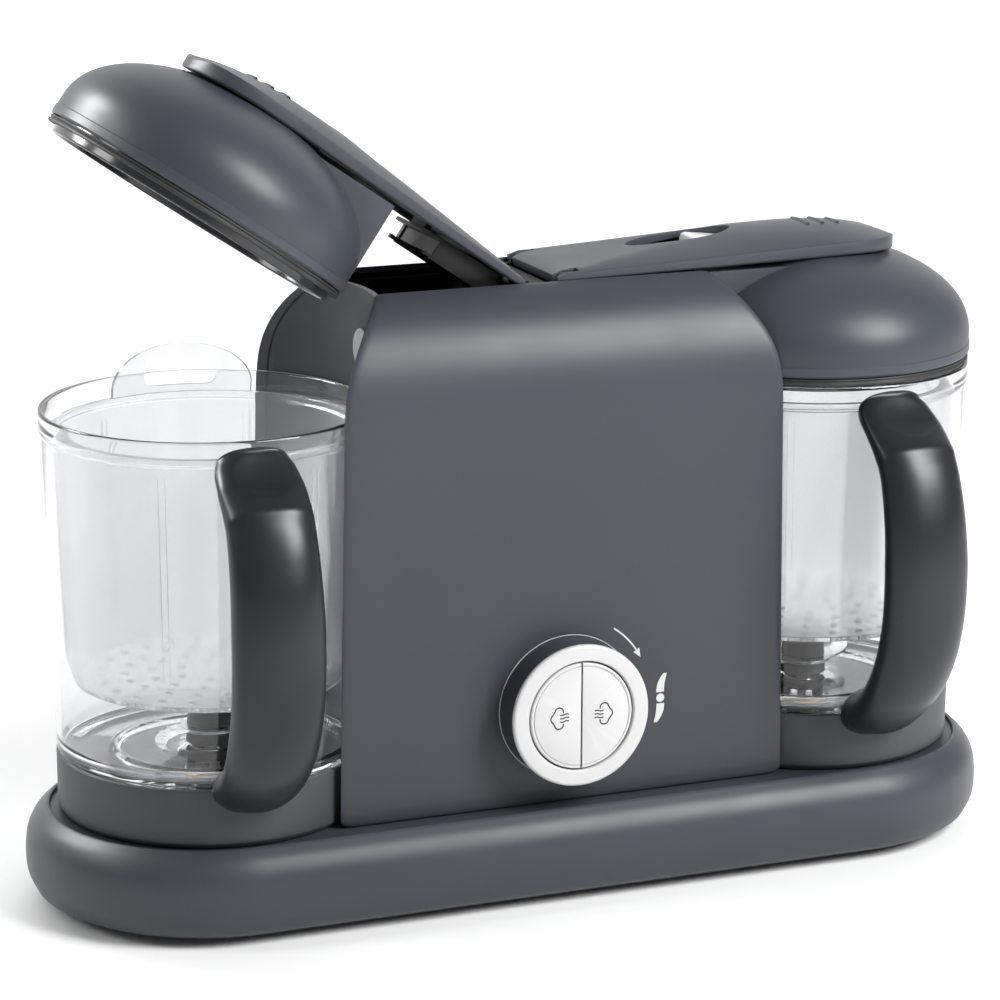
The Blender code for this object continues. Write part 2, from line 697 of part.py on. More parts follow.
def grip_hole(y):
    """A slot with round ends, seen from the front."""
    points = []
    for side in (1, -1):
        for i in range(7):
            angle = math.pi * (i / 6 - 0.5)
            points.append((side * (11.5 + 3.6 * math.cos(angle)), y,
                           195 + side * 3.6 * math.sin(angle)))
    return points


# ---------------------------------------------------------------- lids
def dome_radius(z, inset=0.0):
    part = (z - DOME_LOW_Z) / (DOME_APEX_Z - inset - DOME_LOW_Z)
    if part <= 0:
        return DOME_RADIUS - inset
    return (DOME_RADIUS - inset) * (1 - part ** DOME_RISE_POWER) ** (1 / DOME_PLAN_POWER)


def dome_outline(top, inset, levels):
    """From the axis out and down to the dome's vertical band."""
    points = [(0, top)]
    for i in range(levels + 1):
        part = 1 - (i / levels) ** 1.5
        z = DOME_LOW_Z + (top - DOME_LOW_Z) * part
        points.append((dome_radius(z, inset), z))
    return points


def neck_plan(side, radius, half_width, z, depth):
    """The slice of a circle about the jug's axis that reaches towards the block."""
    points = []
    reach = math.asin(half_width / radius)
    for i in range(7):
        angle = reach * (i / 3 - 1)
        points.append((side * (JUG_X - radius * math.cos(angle)), radius * math.sin(angle), z))
    points.append((side * (JUG_X - depth), half_width, z))
    points.append((side * (JUG_X - depth), -half_width, z))
    return points


def make_dome(side, name):
    centre = (side * JUG_X, 0, 0)
    outline = dome_outline(DOME_FLAT_Z, 0, 4)
    outline += [(62.7, 201.5), (62.7, DOME_EDGE_Z), (0, DOME_EDGE_Z)]
    dome = turned(f"lid_dome_{name}", outline, "slate", centre, steps=JUG_STEPS)
    neck = [neck_plan(side, 62.5, NECK_HALF_WIDTH, z, 10) for z in (203.5, NECK_TOP_Z)]
    join(dome, loft(f"neck_{name}", neck))
    hollow = dome_outline(DOME_FLAT_Z - DOME_WALL, DOME_WALL, 4)
    hollow += [(DOME_RADIUS - DOME_WALL, 190), (0, 190)]
    cut(dome, turned(f"dome_hollow_{name}", hollow, None, centre, steps=JUG_STEPS))
    inner = [neck_plan(side, 60.3, NECK_HALF_WIDTH - 2.2, z, 14) for z in (205, NECK_TOP_Z - 2.2)]
    cut(dome, loft(f"neck_hollow_{name}", inner))
    start = (side * 55, 0, STEAM_Z)
    cut(dome, rod(f"dome_steam_{name}", 8.5, start, 20, name.upper(), segments=20))
    return dome


def make_liner(side, name):
    outline = ((0, 217), (49.5, 217), (57.4, 208), (59.2, 203), (59.2, 189.4), (57.4, 189.4),
               (57.4, 202.6), (55.6, 207.2), (48.8, 215.4), (0, 215.4))
    liner = turned(f"lid_liner_{name}", outline, "slate_matte", (side * JUG_X, 0, 0),
                   steps=JUG_STEPS)
    start = (side * 55, 0, STEAM_Z)
    return cut(liner, rod(f"liner_steam_{name}", 6.5, start, 25, name.upper(), segments=16))


def make_seal(side, name):
    outline = ((59.8, 194.9), (62.2, 194.9), (62.2, 192.3), (59.8, 192.3))
    return turned(f"lid_seal_{name}", outline, "rubber", (side * JUG_X, 0, 0), steps=JUG_STEPS)


def arm_bottom(x):
    droop = max(0.0, (x - 132) / (ARM_TIP_X - 132))
    return 233.8 + 0.02 * (x - ARM_INNER_X) - 1.6 * droop ** 2


def arm_half_width(x):
    if x <= ARM_ROUND_X:
        return ARM_HALF_WIDTH
    part = min(1.0, (x - ARM_ROUND_X) / (ARM_TIP_X + 0.8 - ARM_ROUND_X))
    return ARM_HALF_WIDTH * (1 - part ** 2.5) ** 0.5


def arm_top(x, y):
    """Height of the arm's upper skin: a flat facet that narrows, and sides that fall to a crease."""
    crown = along(ARM_CROWN, x)
    crease = arm_crease(x)
    half = arm_half_width(x)
    facet = ARM_HALF_WIDTH * max(0.0, 1 - (x - ARM_INNER_X) / 76) * half / ARM_HALF_WIDTH
    part = max(0.0, (abs(y) - facet) / max(half - facet, 0.01))
    power = 1.15 + 0.75 * min(1.0, x / 110)
    return crown - (crown - crease) * min(part, 1.0) ** power


def arm_crease(x):
    return min(arm_bottom(x) + 2.9 + 0.018 * (x - ARM_INNER_X), along(ARM_CROWN, x) - 0.02)


def arm_section(side, x, inset=0.0, low=None):
    half = arm_half_width(x) - inset
    bottom = arm_bottom(x) if low is None else low
    points = [(side * x, -half, bottom), (side * x, half, bottom)]
    for i in range(9):
        y = half * (1 - i / 4)
        points.append((side * x, y, arm_top(x, y) - inset))
    return points


def oval(side, z, grow=0.0):
    points = []
    for i in range(24):
        angle = 2 * math.pi * i / 24
        points.append((side * (OVAL_X + (OVAL_HALF_LENGTH + grow) * math.cos(angle)),
                       (OVAL_HALF_WIDTH + grow) * math.sin(angle), z))
    return points


def make_arm(side, name):
    sections = [arm_section(side, x) for x in ARM_STATIONS]
    arm = loft(f"arm_cover_{name}", sections, "slate")
    hollow = [arm_section(side, x, 2.6, 230) for x in (29, 41, 81, 100, 120, 136, 149)]
    cut(arm, loft(f"arm_hollow_{name}", hollow))
    cut(arm, loft(f"arm_oval_{name}", [oval(side, 228), oval(side, 252)]))
    low, high = (side * (ARM_INNER_X + 0.4), -21, 232.4), (side * 14, 21, 235.6)
    join(arm, block(f"knuckle_{name}", low, high))
    cut(arm, rod(f"arm_bore_{name}", PIN_RADIUS + 0.25, (side * HINGE_X, -24.2, HINGE_Z), 48.4,
                 "BACK", segments=12))
    for end in (-1, 1):
        low = (side * 2, end * EAR_Y - EAR_HALF_THICKNESS - 0.5, 228)
        high = (side * 15.3, end * EAR_Y + EAR_HALF_THICKNESS + 0.5, 245)
        cut(arm, block(f"ear_slot_{name}_{end}", low, high))
    for i in range(3):
        x = 120 + 7 * i
        start = (side * x, -7 + i, along(ARM_CROWN, x) - 0.6)
        join(arm, rod(f"grip_rib_{name}_{i}", 1.3, start, 14 - 2 * i, "BACK", segments=8))
    return arm


def make_arm_frame(side, name):
    """The black ribbed frame under the arm, with a bed for the slider."""
    def beam(part, x0, x1, half, z0, z1, y0=0.0):
        low = (side * x0, y0 - half, z0)
        return block(f"{part}_{name}", low, (side * x1, y0 + half, z1))

    frame = block(f"arm_frame_{name}", (side * 16, -19.8, 231.6), (side * 60, 19.8, 233.3), "black")
    for end in (-1, 1):
        join(frame, beam(f"rail_{end}", 16, 55.5, 1.2, 224, 232.5, end * 18.8))
    for number, x in enumerate((24, 34, 44, 53)):
        join(frame, beam(f"rib_{number}", x, x + 1.6, 18.2, 226, 232.4))
    join(frame, beam("riser", 51, 58, 7, 232.4, 238))
    join(frame, beam("bed", 50, 92, 10.5, 237.2, 238.7))
    return frame


def make_slider(side, name):
    pad = block(f"release_slider_{name}", (side * 70, -5.6, 239.0), (side * 86.5, 5.6, 241.2),
                "pale_grey")
    ridge = block(f"slider_ridge_{name}", (side * 70.6, -5, 241), (side * 73.6, 5, 243.8))
    return join(pad, ridge)


# ---------------------------------------------------------------- assembly
def assemble():
    clear_scene()
    still = make_base() + make_block()
    pivots = [pivot("knob_axis", (0, -BLOCK_HALF_DEPTH, KNOB_Z), make_knob())]
    drive = make_drive_pulley()
    pivots.append(pivot("motor_axis", (0, MOTOR_Y, DECK_Z), [drive]))
    for side, name in SIDES.items():
        axis = (side * JUG_X, 0, DECK_Z)
        still += [make_belt(side, name), make_bush(side, name), make_spring(side, name)]
        pivots.append(pivot(f"button_axis_{name}", (side * STEM_X, -BUTTON_FRONT, KNOB_Z),
                            [make_button(side, name)]))
        pivots.append(pivot(f"spindle_axis_{name}", axis, [make_coupler(side, name)]))
        jug = pivot(f"jug_axis_{name}", axis,
                    [make_bowl(side, name), make_ring(side, name), make_handle(side, name)])
        hub, blades, basket = (make_hub(side, name), make_blades(side, name),
                               make_basket(side, name))
        pivots += [jug, pivot(f"blade_axis_{name}", axis, [hub, blades]),
                   pivot(f"basket_axis_{name}", axis, [basket])]
        lid_pieces = [make_arm(side, name), make_arm_frame(side, name), make_dome(side, name),
                      make_liner(side, name), make_seal(side, name), make_slider(side, name)]
        opened = LEFT_LID_OPEN if side < 0 else 0.0
        pivots.append(pivot(f"lid_axis_{name}", (side * HINGE_X, 0, HINGE_Z), lid_pieces, opened))

    machine = bpy.data.objects.new("machine", None)
    bpy.data.collections["baby_food_maker"].objects.link(machine)
    machine.location = (0, SET_BACK * MM, 0)
    for piece in still:
        for member in family(piece):
            member.parent = machine
    for empty in pivots:
        empty.parent = machine


assemble()
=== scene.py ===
"""The looks of a two-jug baby food maker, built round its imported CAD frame.

Lengths are in millimetres until a piece is finished, when it becomes metres and goes to its
place in the row frame. The shapes are made as part of a machine whose jugs' axes lie in the
plane y = 0, with both lids closed. The left lid is then opened to its rest angle.
"""

import json
import math

import bmesh
import bpy
from mathutils import Matrix, Vector


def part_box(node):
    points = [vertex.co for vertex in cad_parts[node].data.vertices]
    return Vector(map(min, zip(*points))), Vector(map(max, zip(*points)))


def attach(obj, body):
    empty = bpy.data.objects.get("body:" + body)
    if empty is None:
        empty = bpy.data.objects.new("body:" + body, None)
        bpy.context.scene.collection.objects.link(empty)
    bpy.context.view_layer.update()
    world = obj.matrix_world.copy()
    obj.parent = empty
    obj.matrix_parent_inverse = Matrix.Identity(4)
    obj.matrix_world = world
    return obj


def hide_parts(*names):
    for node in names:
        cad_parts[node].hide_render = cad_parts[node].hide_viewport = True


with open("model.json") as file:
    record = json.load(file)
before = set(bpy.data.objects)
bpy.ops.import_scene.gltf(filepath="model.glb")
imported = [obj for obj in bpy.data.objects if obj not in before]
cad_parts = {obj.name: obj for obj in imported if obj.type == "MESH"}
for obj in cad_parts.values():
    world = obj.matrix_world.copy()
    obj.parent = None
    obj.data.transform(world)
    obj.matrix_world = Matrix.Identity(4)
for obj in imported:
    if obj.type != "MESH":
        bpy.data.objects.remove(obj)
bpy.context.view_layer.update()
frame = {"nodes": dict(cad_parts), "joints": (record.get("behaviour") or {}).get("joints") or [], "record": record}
joints = {joint["name"]: joint for joint in frame["joints"]}

MM = 0.001
SIDES = {-1: "left", 1: "right"}
ENDS = (-1, 1)
IDENTITY = Matrix.Identity(4)

# ---- driving sizes, from the frame
jug_low, jug_high = (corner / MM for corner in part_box("jug_bowl_right"))
JUG_X = (jug_low.x + jug_high.x) / 2
SET_BACK = (jug_low.y + jug_high.y) / 2
RIM_Z = jug_high.z
RIM_RADIUS = (jug_high.x - jug_low.x) / 2
base_low, base_high = (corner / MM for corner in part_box("base_shell"))
BASE_RADIUS = (base_high.y - base_low.y) / 2
BASE_HALF_SPAN = base_high.x - BASE_RADIUS
HINGE_X = joints["lid_right_hinge"]["pos_m"][0] / MM
HINGE_Z = joints["lid_right_hinge"]["pos_m"][2] / MM
OPENED = -math.radians(joints["lid_left_hinge"]["range_deg"][0])
KNOB_Z = joints["knob_turn"]["pos_m"][2] / MM
STEAM_Z = sum(corner.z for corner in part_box("steam_nozzle_right")) / 2 / MM
PLACE = Matrix.Translation((0, SET_BACK * MM, 0))

# ---- base and block
DECK_Z = 36.0
BLOCK_HALF_DEPTH = 51.5
BLOCK_STRAIGHT_Z = 188.0
BLOCK_TOP_Z = 238.4
BLOCK_ARCH_POWER = 2.5
BLOCK_LOW_Z = DECK_Z + 0.4
SIDE_RADIUS_LOW = 61.8
SIDE_RADIUS_GROWTH = 0.00974
COVER_WALL = 2.4
EDGE_ROUND = 4.0
EDGE_DEPTH = 1.0
EDGE_GAP = 0.45
FOOT_ROUND = 3.2
SIDE_WALL = 2.2
OPENING_HALF_DEPTH = 26.2
BOILER_X = 30.0
FILLER_RADIUS = 6.2
SPINDLE_HOLE_RADIUS = 8.5
NOZZLE_RADIUS = 5.0
GLAND_X, GLAND_Z = 45, 52

# ---- jugs, handles and baskets
LIP_LOW_Z = 183.0
WALL_TOP_RADIUS = 61.4
WALL_LOW_RADIUS = 58.3
RING_RADIUS = 58.5
RING_TOP_Z = 59.4
# The handle's outlines are (reach from the jug's axis, height) points, and its half widths
# run from its top at 0 to its foot at 1.
HANDLE_FACET = ((60.6, 189.5), (64, 187.4), (70, 183.5), (78, 178.3), (87, 172.4))
HANDLE_FRONT = ((87, 172.4), (91.8, 164.5), (95.8, 154), (99, 141), (100.8, 123), (99.8, 104),
                (95, 86.5), (86, 70.5), (74, 58.5), (65, 52.4), (57.4, 49.9))
HANDLE_INNER = ((60.8, 174.4), (65.5, 172.8), (71, 169), (75, 162.5), (78, 152), (80.5, 138),
                (81.5, 121), (80.5, 104), (77, 90.5), (70.5, 79), (63.5, 73), (57.6, 70.4))
HANDLE_HALF_WIDTHS = ((0, 14.0), (0.03, 15.4), (0.09, 16.3), (0.2, 16.4), (0.45, 17.4),
                      (0.75, 17.2), (1, 15.8))
FOLD = 0.185
# The thumb dimple's middle and half sizes are (across, reach).
DIMPLE = (1.0, 72.4)
DIMPLE_REACH = (12.2, 9.6)
DIMPLE_DEPTH = 2.0
DIMPLE_WAY = (0.54, 0.84)
HANDLE_TURN = {-1: -1.5, 1: 3.5}
BASKET_RADIUS = 58.4
BASKET_TOP_Z = 184.6
BASKET_LOW_Z = 87.2
RIB_ANGLE = -124.0
DRAIN_RINGS = ((12, 6), (22, 12), (32, 18), (42, 24))
DRAIN_RADIUS = 1.6
GRIP_TURN = 7.0
GRIP_REACH = 56.3
GRIP_LEAN = 0.33
GRIP_THICKNESS = 1.4
GRIP_LOW_Z = 183.2
GRIP_TOP_Z = 205.0

# ---- lids and arms
PIN_RADIUS = 0.75
PIN_BORE_RADIUS = PIN_RADIUS + 0.25
ARM_INNER_X = 5.8
ARM_TIP_X = 157.8
ARM_HALF_WIDTH = 25.6
ARM_ROUND_X = 128.0
ARM_EDGE = 1.3
ARM_CROWN = ((5.8, 235.6), (7.2, 236.6), (9.5, 237.1), (81, 245.2), (100, 246.2), (118, 246.3),
             (134, 245.3), (146, 243.4), (153, 241.4), (157.8, 239.0))
OVAL_X = 67.0
OVAL_HALF_LENGTH = 22.0
OVAL_HALF_WIDTH = 8.5
TRAY_Z = 238.95
EAR_Y = 22.0
EAR_HALF_THICKNESS = 1.5
EAR_RADIUS = 1.8
DOME_RADIUS = 62.4
DOME_LOW_Z = 202.9
DOME_APEX_Z = 239.0
DOME_FLAT_Z = 235.4
DOME_RISE_POWER = 2.1
DOME_PLAN_POWER = 1.8
DOME_EDGE_Z = 195.4
DOME_WALL = 2.4
NECK_HALF_WIDTH = 24.0
NECK_TOP_Z = 233.0

# ---- knob and buttons
KNOB_RADIUS = 27.8
KNOB_FRONT = 66.3
BUTTON_RADIUS = 20.8
BUTTON_FRONT = 65.9

# ---- the arrow and the blade beside the knob
ARROW_RADIUS = 34.4
ARROW_LINE_DEG = (56, 33)
ARROW_TIP_DEG, ARROW_FOOT_DEG = 27.5, 33.5
BLADE_ICON_X = 39.1
BLADE_ICON_DROP = 1.4
BLADE_ICON_HUB = 1.7

# ---- camera and light
YAW, PITCH, ROLL = 22.12, 14.43, 0.28
CAMERA_SPOT_M = (-0.5311, -1.28929, 0.50198)
LENS, SENSOR = 133.03, 36
WORLD_LIGHT, WORLD_SEEN = 0.24, 1.0
GLOW, GLOW_START_M, GLOW_END_M = 0.6, 1.4, 3.0
# Name, direction, distance and size in metres, watts, and whether it lights and whether it shines.
LAMPS = (("key", (0.47, -0.66, 0.58), 1.5, 0.6, 0.8, 31, True, True),
         ("left_top", (-0.86, 0.12, 0.50), 1.5, 0.4, 0.5, 5, True, True),
         ("left_shine", (-0.62, 0.52, 0.58), 1.5, 0.4, 0.5, 24, False, True),
         ("behind", (0.0, 0.80, 0.60), 3.6, 4.0, 1.6, 100, True, False))

# ---- smoothness, and the ways a shape's own upright can face
ROUND = 128
FACING = {
    "UP": IDENTITY,
    "FRONT": Matrix.Rotation(math.pi / 2, 4, "X"),
    "BACK": Matrix.Rotation(-math.pi / 2, 4, "X"),
    "RIGHT": Matrix.Rotation(math.pi / 2, 4, "Y"),
    "LEFT": Matrix.Rotation(-math.pi / 2, 4, "Y"),
}

# The cutting and joining shapes of each piece that isn't finished yet
tools_of = {}


# ======== materials
class Tree:
    """A short way to write a material's nodes."""

    def __init__(self, name):
        self.material = bpy.data.materials.new(name)
        self.material.use_nodes = True
        self.nodes = self.material.node_tree.nodes
        self.links = self.material.node_tree.links
        self.shader = self.nodes["Principled BSDF"]
        self.where = self.node("TexCoord", {}, "Object")

    def fill(self, node, sockets):
        """Sets a node's inputs to numbers, or links them to other nodes' outputs."""
        for name, value in sockets.items():
            if isinstance(value, bpy.types.NodeSocket):
                self.links.new(value, node.inputs[name])
            else:
                node.inputs[name].default_value = value

    def feed(self, sockets):
        self.fill(self.shader, sockets)

    def node(self, kind, sockets, output, operation=None):
        """One output of a new node. A mix is a mix of colours."""
        made = self.nodes.new("ShaderNode" + kind)
        if operation:
            made.operation = operation
        if kind == "Mix":
            made.data_type = "RGBA"
        self.fill(made, sockets)
        return made.outputs[output]

    def noise(self, scale, detail=3.0, rough=0.55, stretch=None):
        where = self.where
        if stretch:
            where = self.node("Mapping", {"Vector": where, "Scale": stretch}, "Vector")
        return self.node("TexNoise", {"Vector": where, "Scale": scale, "Detail": detail,
                                      "Roughness": rough}, "Fac")

    def spread(self, value, low, high, start=0.3, end=0.7):
        """The value's range from start to end, spread from low to high."""
        return self.node("MapRange", {"Value": value, "From Min": start, "From Max": end,
                                      "To Min": low, "To Max": high}, "Result")

    def blend(self, amount, first, second):
        """A colour between two colours, or colour sockets."""
        first, second = ((*end, 1) if isinstance(end, tuple) else end for end in (first, second))
        return self.node("Mix", {"Factor": amount, 6: first, 7: second}, 2)

    def bump(self, height, strength, distance):
        """A bump laid over any that the shader already has."""
        sockets = {"Height": height, "Strength": strength, "Distance": distance}
        normal = self.shader.inputs["Normal"]
        if normal.is_linked:
            sockets["Normal"] = normal.links[0].from_socket
        self.feed({"Normal": self.node("Bump", sockets, "Normal")})

    def edges(self):
        """How much a point is a worn, outward edge."""
        return self.spread(self.node("NewGeometry", {}, "Pointiness"), 0.0, 1.0, 0.505, 0.56)

    def lamp_rays_pass(self, tint):
        """Lets lamps' light through the clear shader."""
        open_shader = self.node("BsdfTransparent", {"Color": tint}, "BSDF")
        mixed = self.node("MixShader", {"Fac": self.node("LightPath", {}, "Is Shadow Ray"),
                                        1: self.shader.outputs["BSDF"], 2: open_shader}, "Shader")
        self.fill(self.nodes["Material Output"], {"Surface": mixed})


def moulded(name, dark, light, rough, grain=0.05, coat=0.0, wear=0.35):
    """Moulded plastic: a fine spark-eroded grain, faint flow clouds, and slightly rubbed edges."""
    tree = Tree(name)
    clouds = tree.noise(9, 4)
    speckle = tree.noise(2600, 2)
    colour = tree.blend(tree.spread(clouds, 0, 1), dark, light)
    colour = tree.blend(tree.spread(speckle, 0, 0.25), colour, tuple(1.25 * c for c in light))
    rubbed = tree.node("Math", {0: tree.edges(), 1: wear}, 0, "MULTIPLY")
    colour = tree.blend(rubbed, colour, tuple(1.7 * c for c in light))
    smear = tree.spread(tree.noise(28, 5), rough - 0.03, rough + 0.05)
    tree.feed({"Base Color": colour, "Roughness": smear, "IOR": 1.5, "Specular IOR Level": 0.38,
               "Coat Weight": coat, "Coat Roughness": 0.2})
    tree.bump(tree.noise(2100, 3), grain, 0.0003)
    tree.bump(tree.noise(14, 2), 0.02, 0.002)
    return tree.material


def clear(name, tint, rough_low, rough_high, ior=1.45, haze=0.0):
    """Clear plastic with faint flow lines, wiping marks and a few finer scratches."""
    tree = Tree(name)
    colour = tree.blend(tree.spread(tree.noise(20, 4), 0, 1), tint, tuple(0.985 * c for c in tint))
    marks = tree.noise(60, 6, 0.6, (1, 1, 0.25))
    tree.feed({"Base Color": colour, "Transmission Weight": 1.0 - haze, "IOR": ior,
               "Roughness": tree.spread(marks, rough_low, rough_high, 0.4, 0.75)})
    tree.bump(tree.noise(45, 2, 0.4, (1, 1, 0.15)), 0.05, 0.0006)
    tree.lamp_rays_pass((*(0.93 * c for c in tint), 1))
    return tree.material


def metal(name, colour, rough):
    """Turned metal, with its fine lines across the upright axis."""
    tree = Tree(name)
    lines = tree.noise(160, 5, 0.6, (1, 1, 30))
    tree.feed({"Base Color": tree.blend(tree.spread(lines, 0, 1),
                                        tuple(0.8 * c for c in colour), colour),
               "Roughness": tree.spread(lines, rough - 0.08, rough + 0.1), "Metallic": 1.0})
    tree.bump(lines, 0.12, 0.0003)
    return tree.material


def elastomer(name, colour, rough):
    """Dull rubber with a little dust."""
    tree = Tree(name)
    dust = tree.spread(tree.noise(70, 5), 0, 1, 0.45, 0.8)
    tree.feed({"Base Color": tree.blend(dust, colour, tuple(1.8 * c + 0.01 for c in colour)),
               "Roughness": tree.spread(tree.noise(50, 3), rough - 0.08, rough + 0.08)})
    tree.bump(tree.noise(1500, 3), 0.15, 0.0003)
    return tree.material


def board():
    """Green laminate with copper tracks in a square pattern."""
    tree = Tree("circuit_board")
    brick = tree.node("TexBrick", {"Vector": tree.where, "Scale": 240, "Mortar Size": 0.06}, "Fac")
    tracks = tree.blend(brick, (0.03, 0.16, 0.07), (0.08, 0.26, 0.10))
    stained = tree.blend(tree.spread(tree.noise(90), 0, 0.4), tracks, (0.02, 0.10, 0.05))
    tree.feed({"Base Color": stained, "Roughness": tree.spread(tree.noise(200), 0.35, 0.5)})
    tree.bump(brick, 0.2, 0.0002)
    return tree.material


def make_looks():
    """The material of each slot, and of the handles: the body's plastic made glossier, and darker, partly as
    painted shade.
    """
    return {
        "shell_plastic": moulded("slate_plastic", (0.035, 0.040, 0.048), (0.041, 0.046, 0.055),
                                 0.40),
        "ring_plastic": moulded("collar_plastic", (0.042, 0.044, 0.048), (0.050, 0.052, 0.056),
                                0.5, 0.08),
        "black_plastic": moulded("black_plastic", (0.002, 0.002, 0.0024),
                                 (0.0035, 0.0035, 0.004), 0.55, 0.1, 0.0, 0.1),
        "liner_plastic": moulded("liner_plastic", (0.020, 0.021, 0.024), (0.028, 0.029, 0.032),
                                 0.16, 0.01, 0.4),
        "white_plastic": moulded("white_plastic", (0.52, 0.52, 0.52), (0.56, 0.56, 0.56), 0.3, 0.03,
                                 0.2, 0.1),
        "grey_plastic": moulded("grey_plastic", (0.36, 0.37, 0.38), (0.42, 0.43, 0.44), 0.33, 0.03),
        "clear_plastic": clear("clear_plastic", (0.905, 0.908, 0.915), 0.01, 0.05),
        "frosted_plastic": clear("hazy_plastic", (0.88, 0.883, 0.893), 0.08, 0.22, 1.42, 0.08),
        "rubber": elastomer("rubber", (0.018, 0.018, 0.019), 0.6),
        "steel": metal("steel", (0.62, 0.62, 0.63), 0.28),
        "brass": metal("brass", (0.66, 0.49, 0.26), 0.36),
        "circuit_board": board(),
        # The handles' copy of the body plastic: glossier, and darker in colour, partly as painted shade.
        "handle_plastic": moulded("handle_plastic", (0.011, 0.0125, 0.015),
                                  (0.014, 0.016, 0.019), 0.31, 0.02, 0.0, 0.0),
    }


# ======== shape helpers
def place(name, mesh):
    made = bpy.data.objects.new(name, mesh)
    bpy.context.scene.collection.objects.link(made)
    return made


def mesh_object(name, shape):
    mesh = bpy.data.meshes.new(name)
    shape.to_mesh(mesh)
    shape.free()
    return place(name, mesh)


def bar(name, side, x, y, z):
    """A box by its runs along x (outward on this side), y and z."""
    low, high = (Vector((side * x[i], y[i], z[i])) * MM for i in (0, 1))
    shape = bmesh.new()
    bmesh.ops.create_cube(shape, size=1)
    size = Vector([abs(far - near) for near, far in zip(low, high)])
    bmesh.ops.scale(shape, vec=size, verts=shape.verts)
    bmesh.ops.translate(shape, vec=(low + high) / 2, verts=shape.verts)
    return mesh_object(name, shape)


def rod(name, radius, start, length, facing, segments=48):
    """A cylinder from a start point, so long, in the way it faces."""
    shape = bmesh.new()
    bmesh.ops.create_cone(shape, cap_ends=True, segments=segments, radius1=radius * MM,
                          radius2=radius * MM, depth=length * MM)
    bmesh.ops.translate(shape, vec=(0, 0, length * MM / 2), verts=shape.verts)
    move = Matrix.Translation(Vector(start) * MM) @ FACING[facing]
    bmesh.ops.transform(shape, matrix=move, verts=shape.verts)
    return mesh_object(name, shape)


def softened(profile, radius):
    """An outline whose sharp corners are rounded. Points on the axis stay."""
    count = len(profile)
    made = []
    for i, here in enumerate(profile):
        here = Vector(here)
        before, after = Vector(profile[i - 1]), Vector(profile[(i + 1) % count])
        back, ahead = before - here, after - here
        if here.x == 0 or back.length == 0 or ahead.length == 0 or back.angle(ahead) > 2.9:
            made.append(tuple(here))
            continue
        reach = min(radius, 0.45 * back.length, 0.45 * ahead.length)
        first, last = here + back.normalized() * reach, here + ahead.normalized() * reach
        for k in range(5):
            t = k / 4
            made.append(tuple(first * (1 - t) ** 2 + here * (2 * t * (1 - t)) + last * t ** 2))
    return made


def smooth_line(points, per=6):
    """A smooth curve through points, as a Catmull-Rom spline."""
    points = [Vector(point) for point in points]
    ends = [points[0] * 2 - points[1], *points, points[-1] * 2 - points[-2]]
    made = []
    for i in range(1, len(ends) - 2):
        a, b, c, d = ends[i - 1:i + 3]
        for k in range(per):
            t = k / per
            made.append(0.5 * (2 * b + (c - a) * t + (2 * a - 5 * b + 4 * c - d) * t ** 2
                               + (3 * b - a - 3 * c + d) * t ** 3))
    return made + [points[-1]]


def turned(name, profile, centre=(0, 0, 0), facing="UP", steps=ROUND, soften=0.0):
    """A (radius, height) outline turned once round its own axis. It runs down its outer side."""
    if soften:
        profile = softened(profile, soften)
    mesh = bpy.data.meshes.new(name)
    count = len(profile)
    closed = profile[0][0] > 0 or profile[-1][0] > 0
    edges = [(i, (i + 1) % count) for i in range(count if closed else count - 1)]
    mesh.from_pydata([(radius * MM, 0, height * MM) for radius, height in profile], edges, [])
    made = place(name, mesh)
    made.matrix_basis = Matrix.Translation(Vector(centre) * MM) @ FACING[facing]
    screw = made.modifiers.new("turn", "SCREW")
    screw.steps = screw.render_steps = steps
    screw.use_merge_vertices = True
    screw.merge_threshold = 0.00001
    return made


def skin(shape, rows, closed=False):
    """Faces between rows of equally many corners, which may close to rings."""
    count = len(rows[0])
    for row, following in zip(rows, rows[1:]):
        for i in range(count if closed else count - 1):
            j = (i + 1) % count
            shape.faces.new((row[i], row[j], following[j], following[i]))


def loft(name, rings, strips=False):
    """A solid skin through rings of equally many points, with flat ends, or with ends that
    bend: then they are strips between mirrored points."""
    shape = bmesh.new()
    rows = [[shape.verts.new(Vector(point) * MM) for point in ring] for ring in rings]
    skin(shape, rows, closed=True)
    for row in (rows[0], rows[-1]):
        if strips:
            for i in range(len(row) // 2 - 1):
                shape.faces.new((row[i], row[i + 1], row[-2 - i], row[-1 - i]))
        else:
            shape.faces.new(row)
    bmesh.ops.recalc_face_normals(shape, faces=shape.faces)
    return mesh_object(name, shape)


def tube(name, points, radius):
    """A round wire along points."""
    path = bpy.data.curves.new(name, "CURVE")
    path.dimensions = "3D"
    path.bevel_depth = radius * MM
    path.bevel_resolution = 2
    path.use_fill_caps = True
    line = path.splines.new("POLY")
    line.points.add(len(points) - 1)
    for point, where in zip(line.points, points):
        point.co = (*(Vector(where) * MM), 1)
    return place(name, path)


def combine(piece, tool, operation):
    """Cuts or joins a tool, which goes when the piece is finished."""
    change = piece.modifiers.new(tool.name, "BOOLEAN")
    change.operation = operation
    change.solver = "EXACT"
    change.object = tool
    tool.hide_render = tool.hide_viewport = True
    tools_of.setdefault(piece.name, []).append(tool)
    return piece


def cut(piece, tool):
    return combine(piece, tool, "DIFFERENCE")


def join(piece, tool):
    return combine(piece, tool, "UNION")


def edged(piece, width, segments=2, angle=35):
    """Rounds the piece's sharp edges."""
    bevel = piece.modifiers.new("edges", "BEVEL")
    bevel.width = width * MM
    bevel.segments = segments
    bevel.limit_method = "ANGLE"
    bevel.angle_limit = math.radians(angle)
    bevel.miter_outer = "MITER_ARC"
    bevel.harden_normals = False
    return piece


def drop_tools(piece):
    """Deletes a piece's tools and their own tools."""
    for tool in tools_of.pop(piece.name, []):
        drop_tools(tool)
        bpy.data.objects.remove(tool, do_unlink=True)


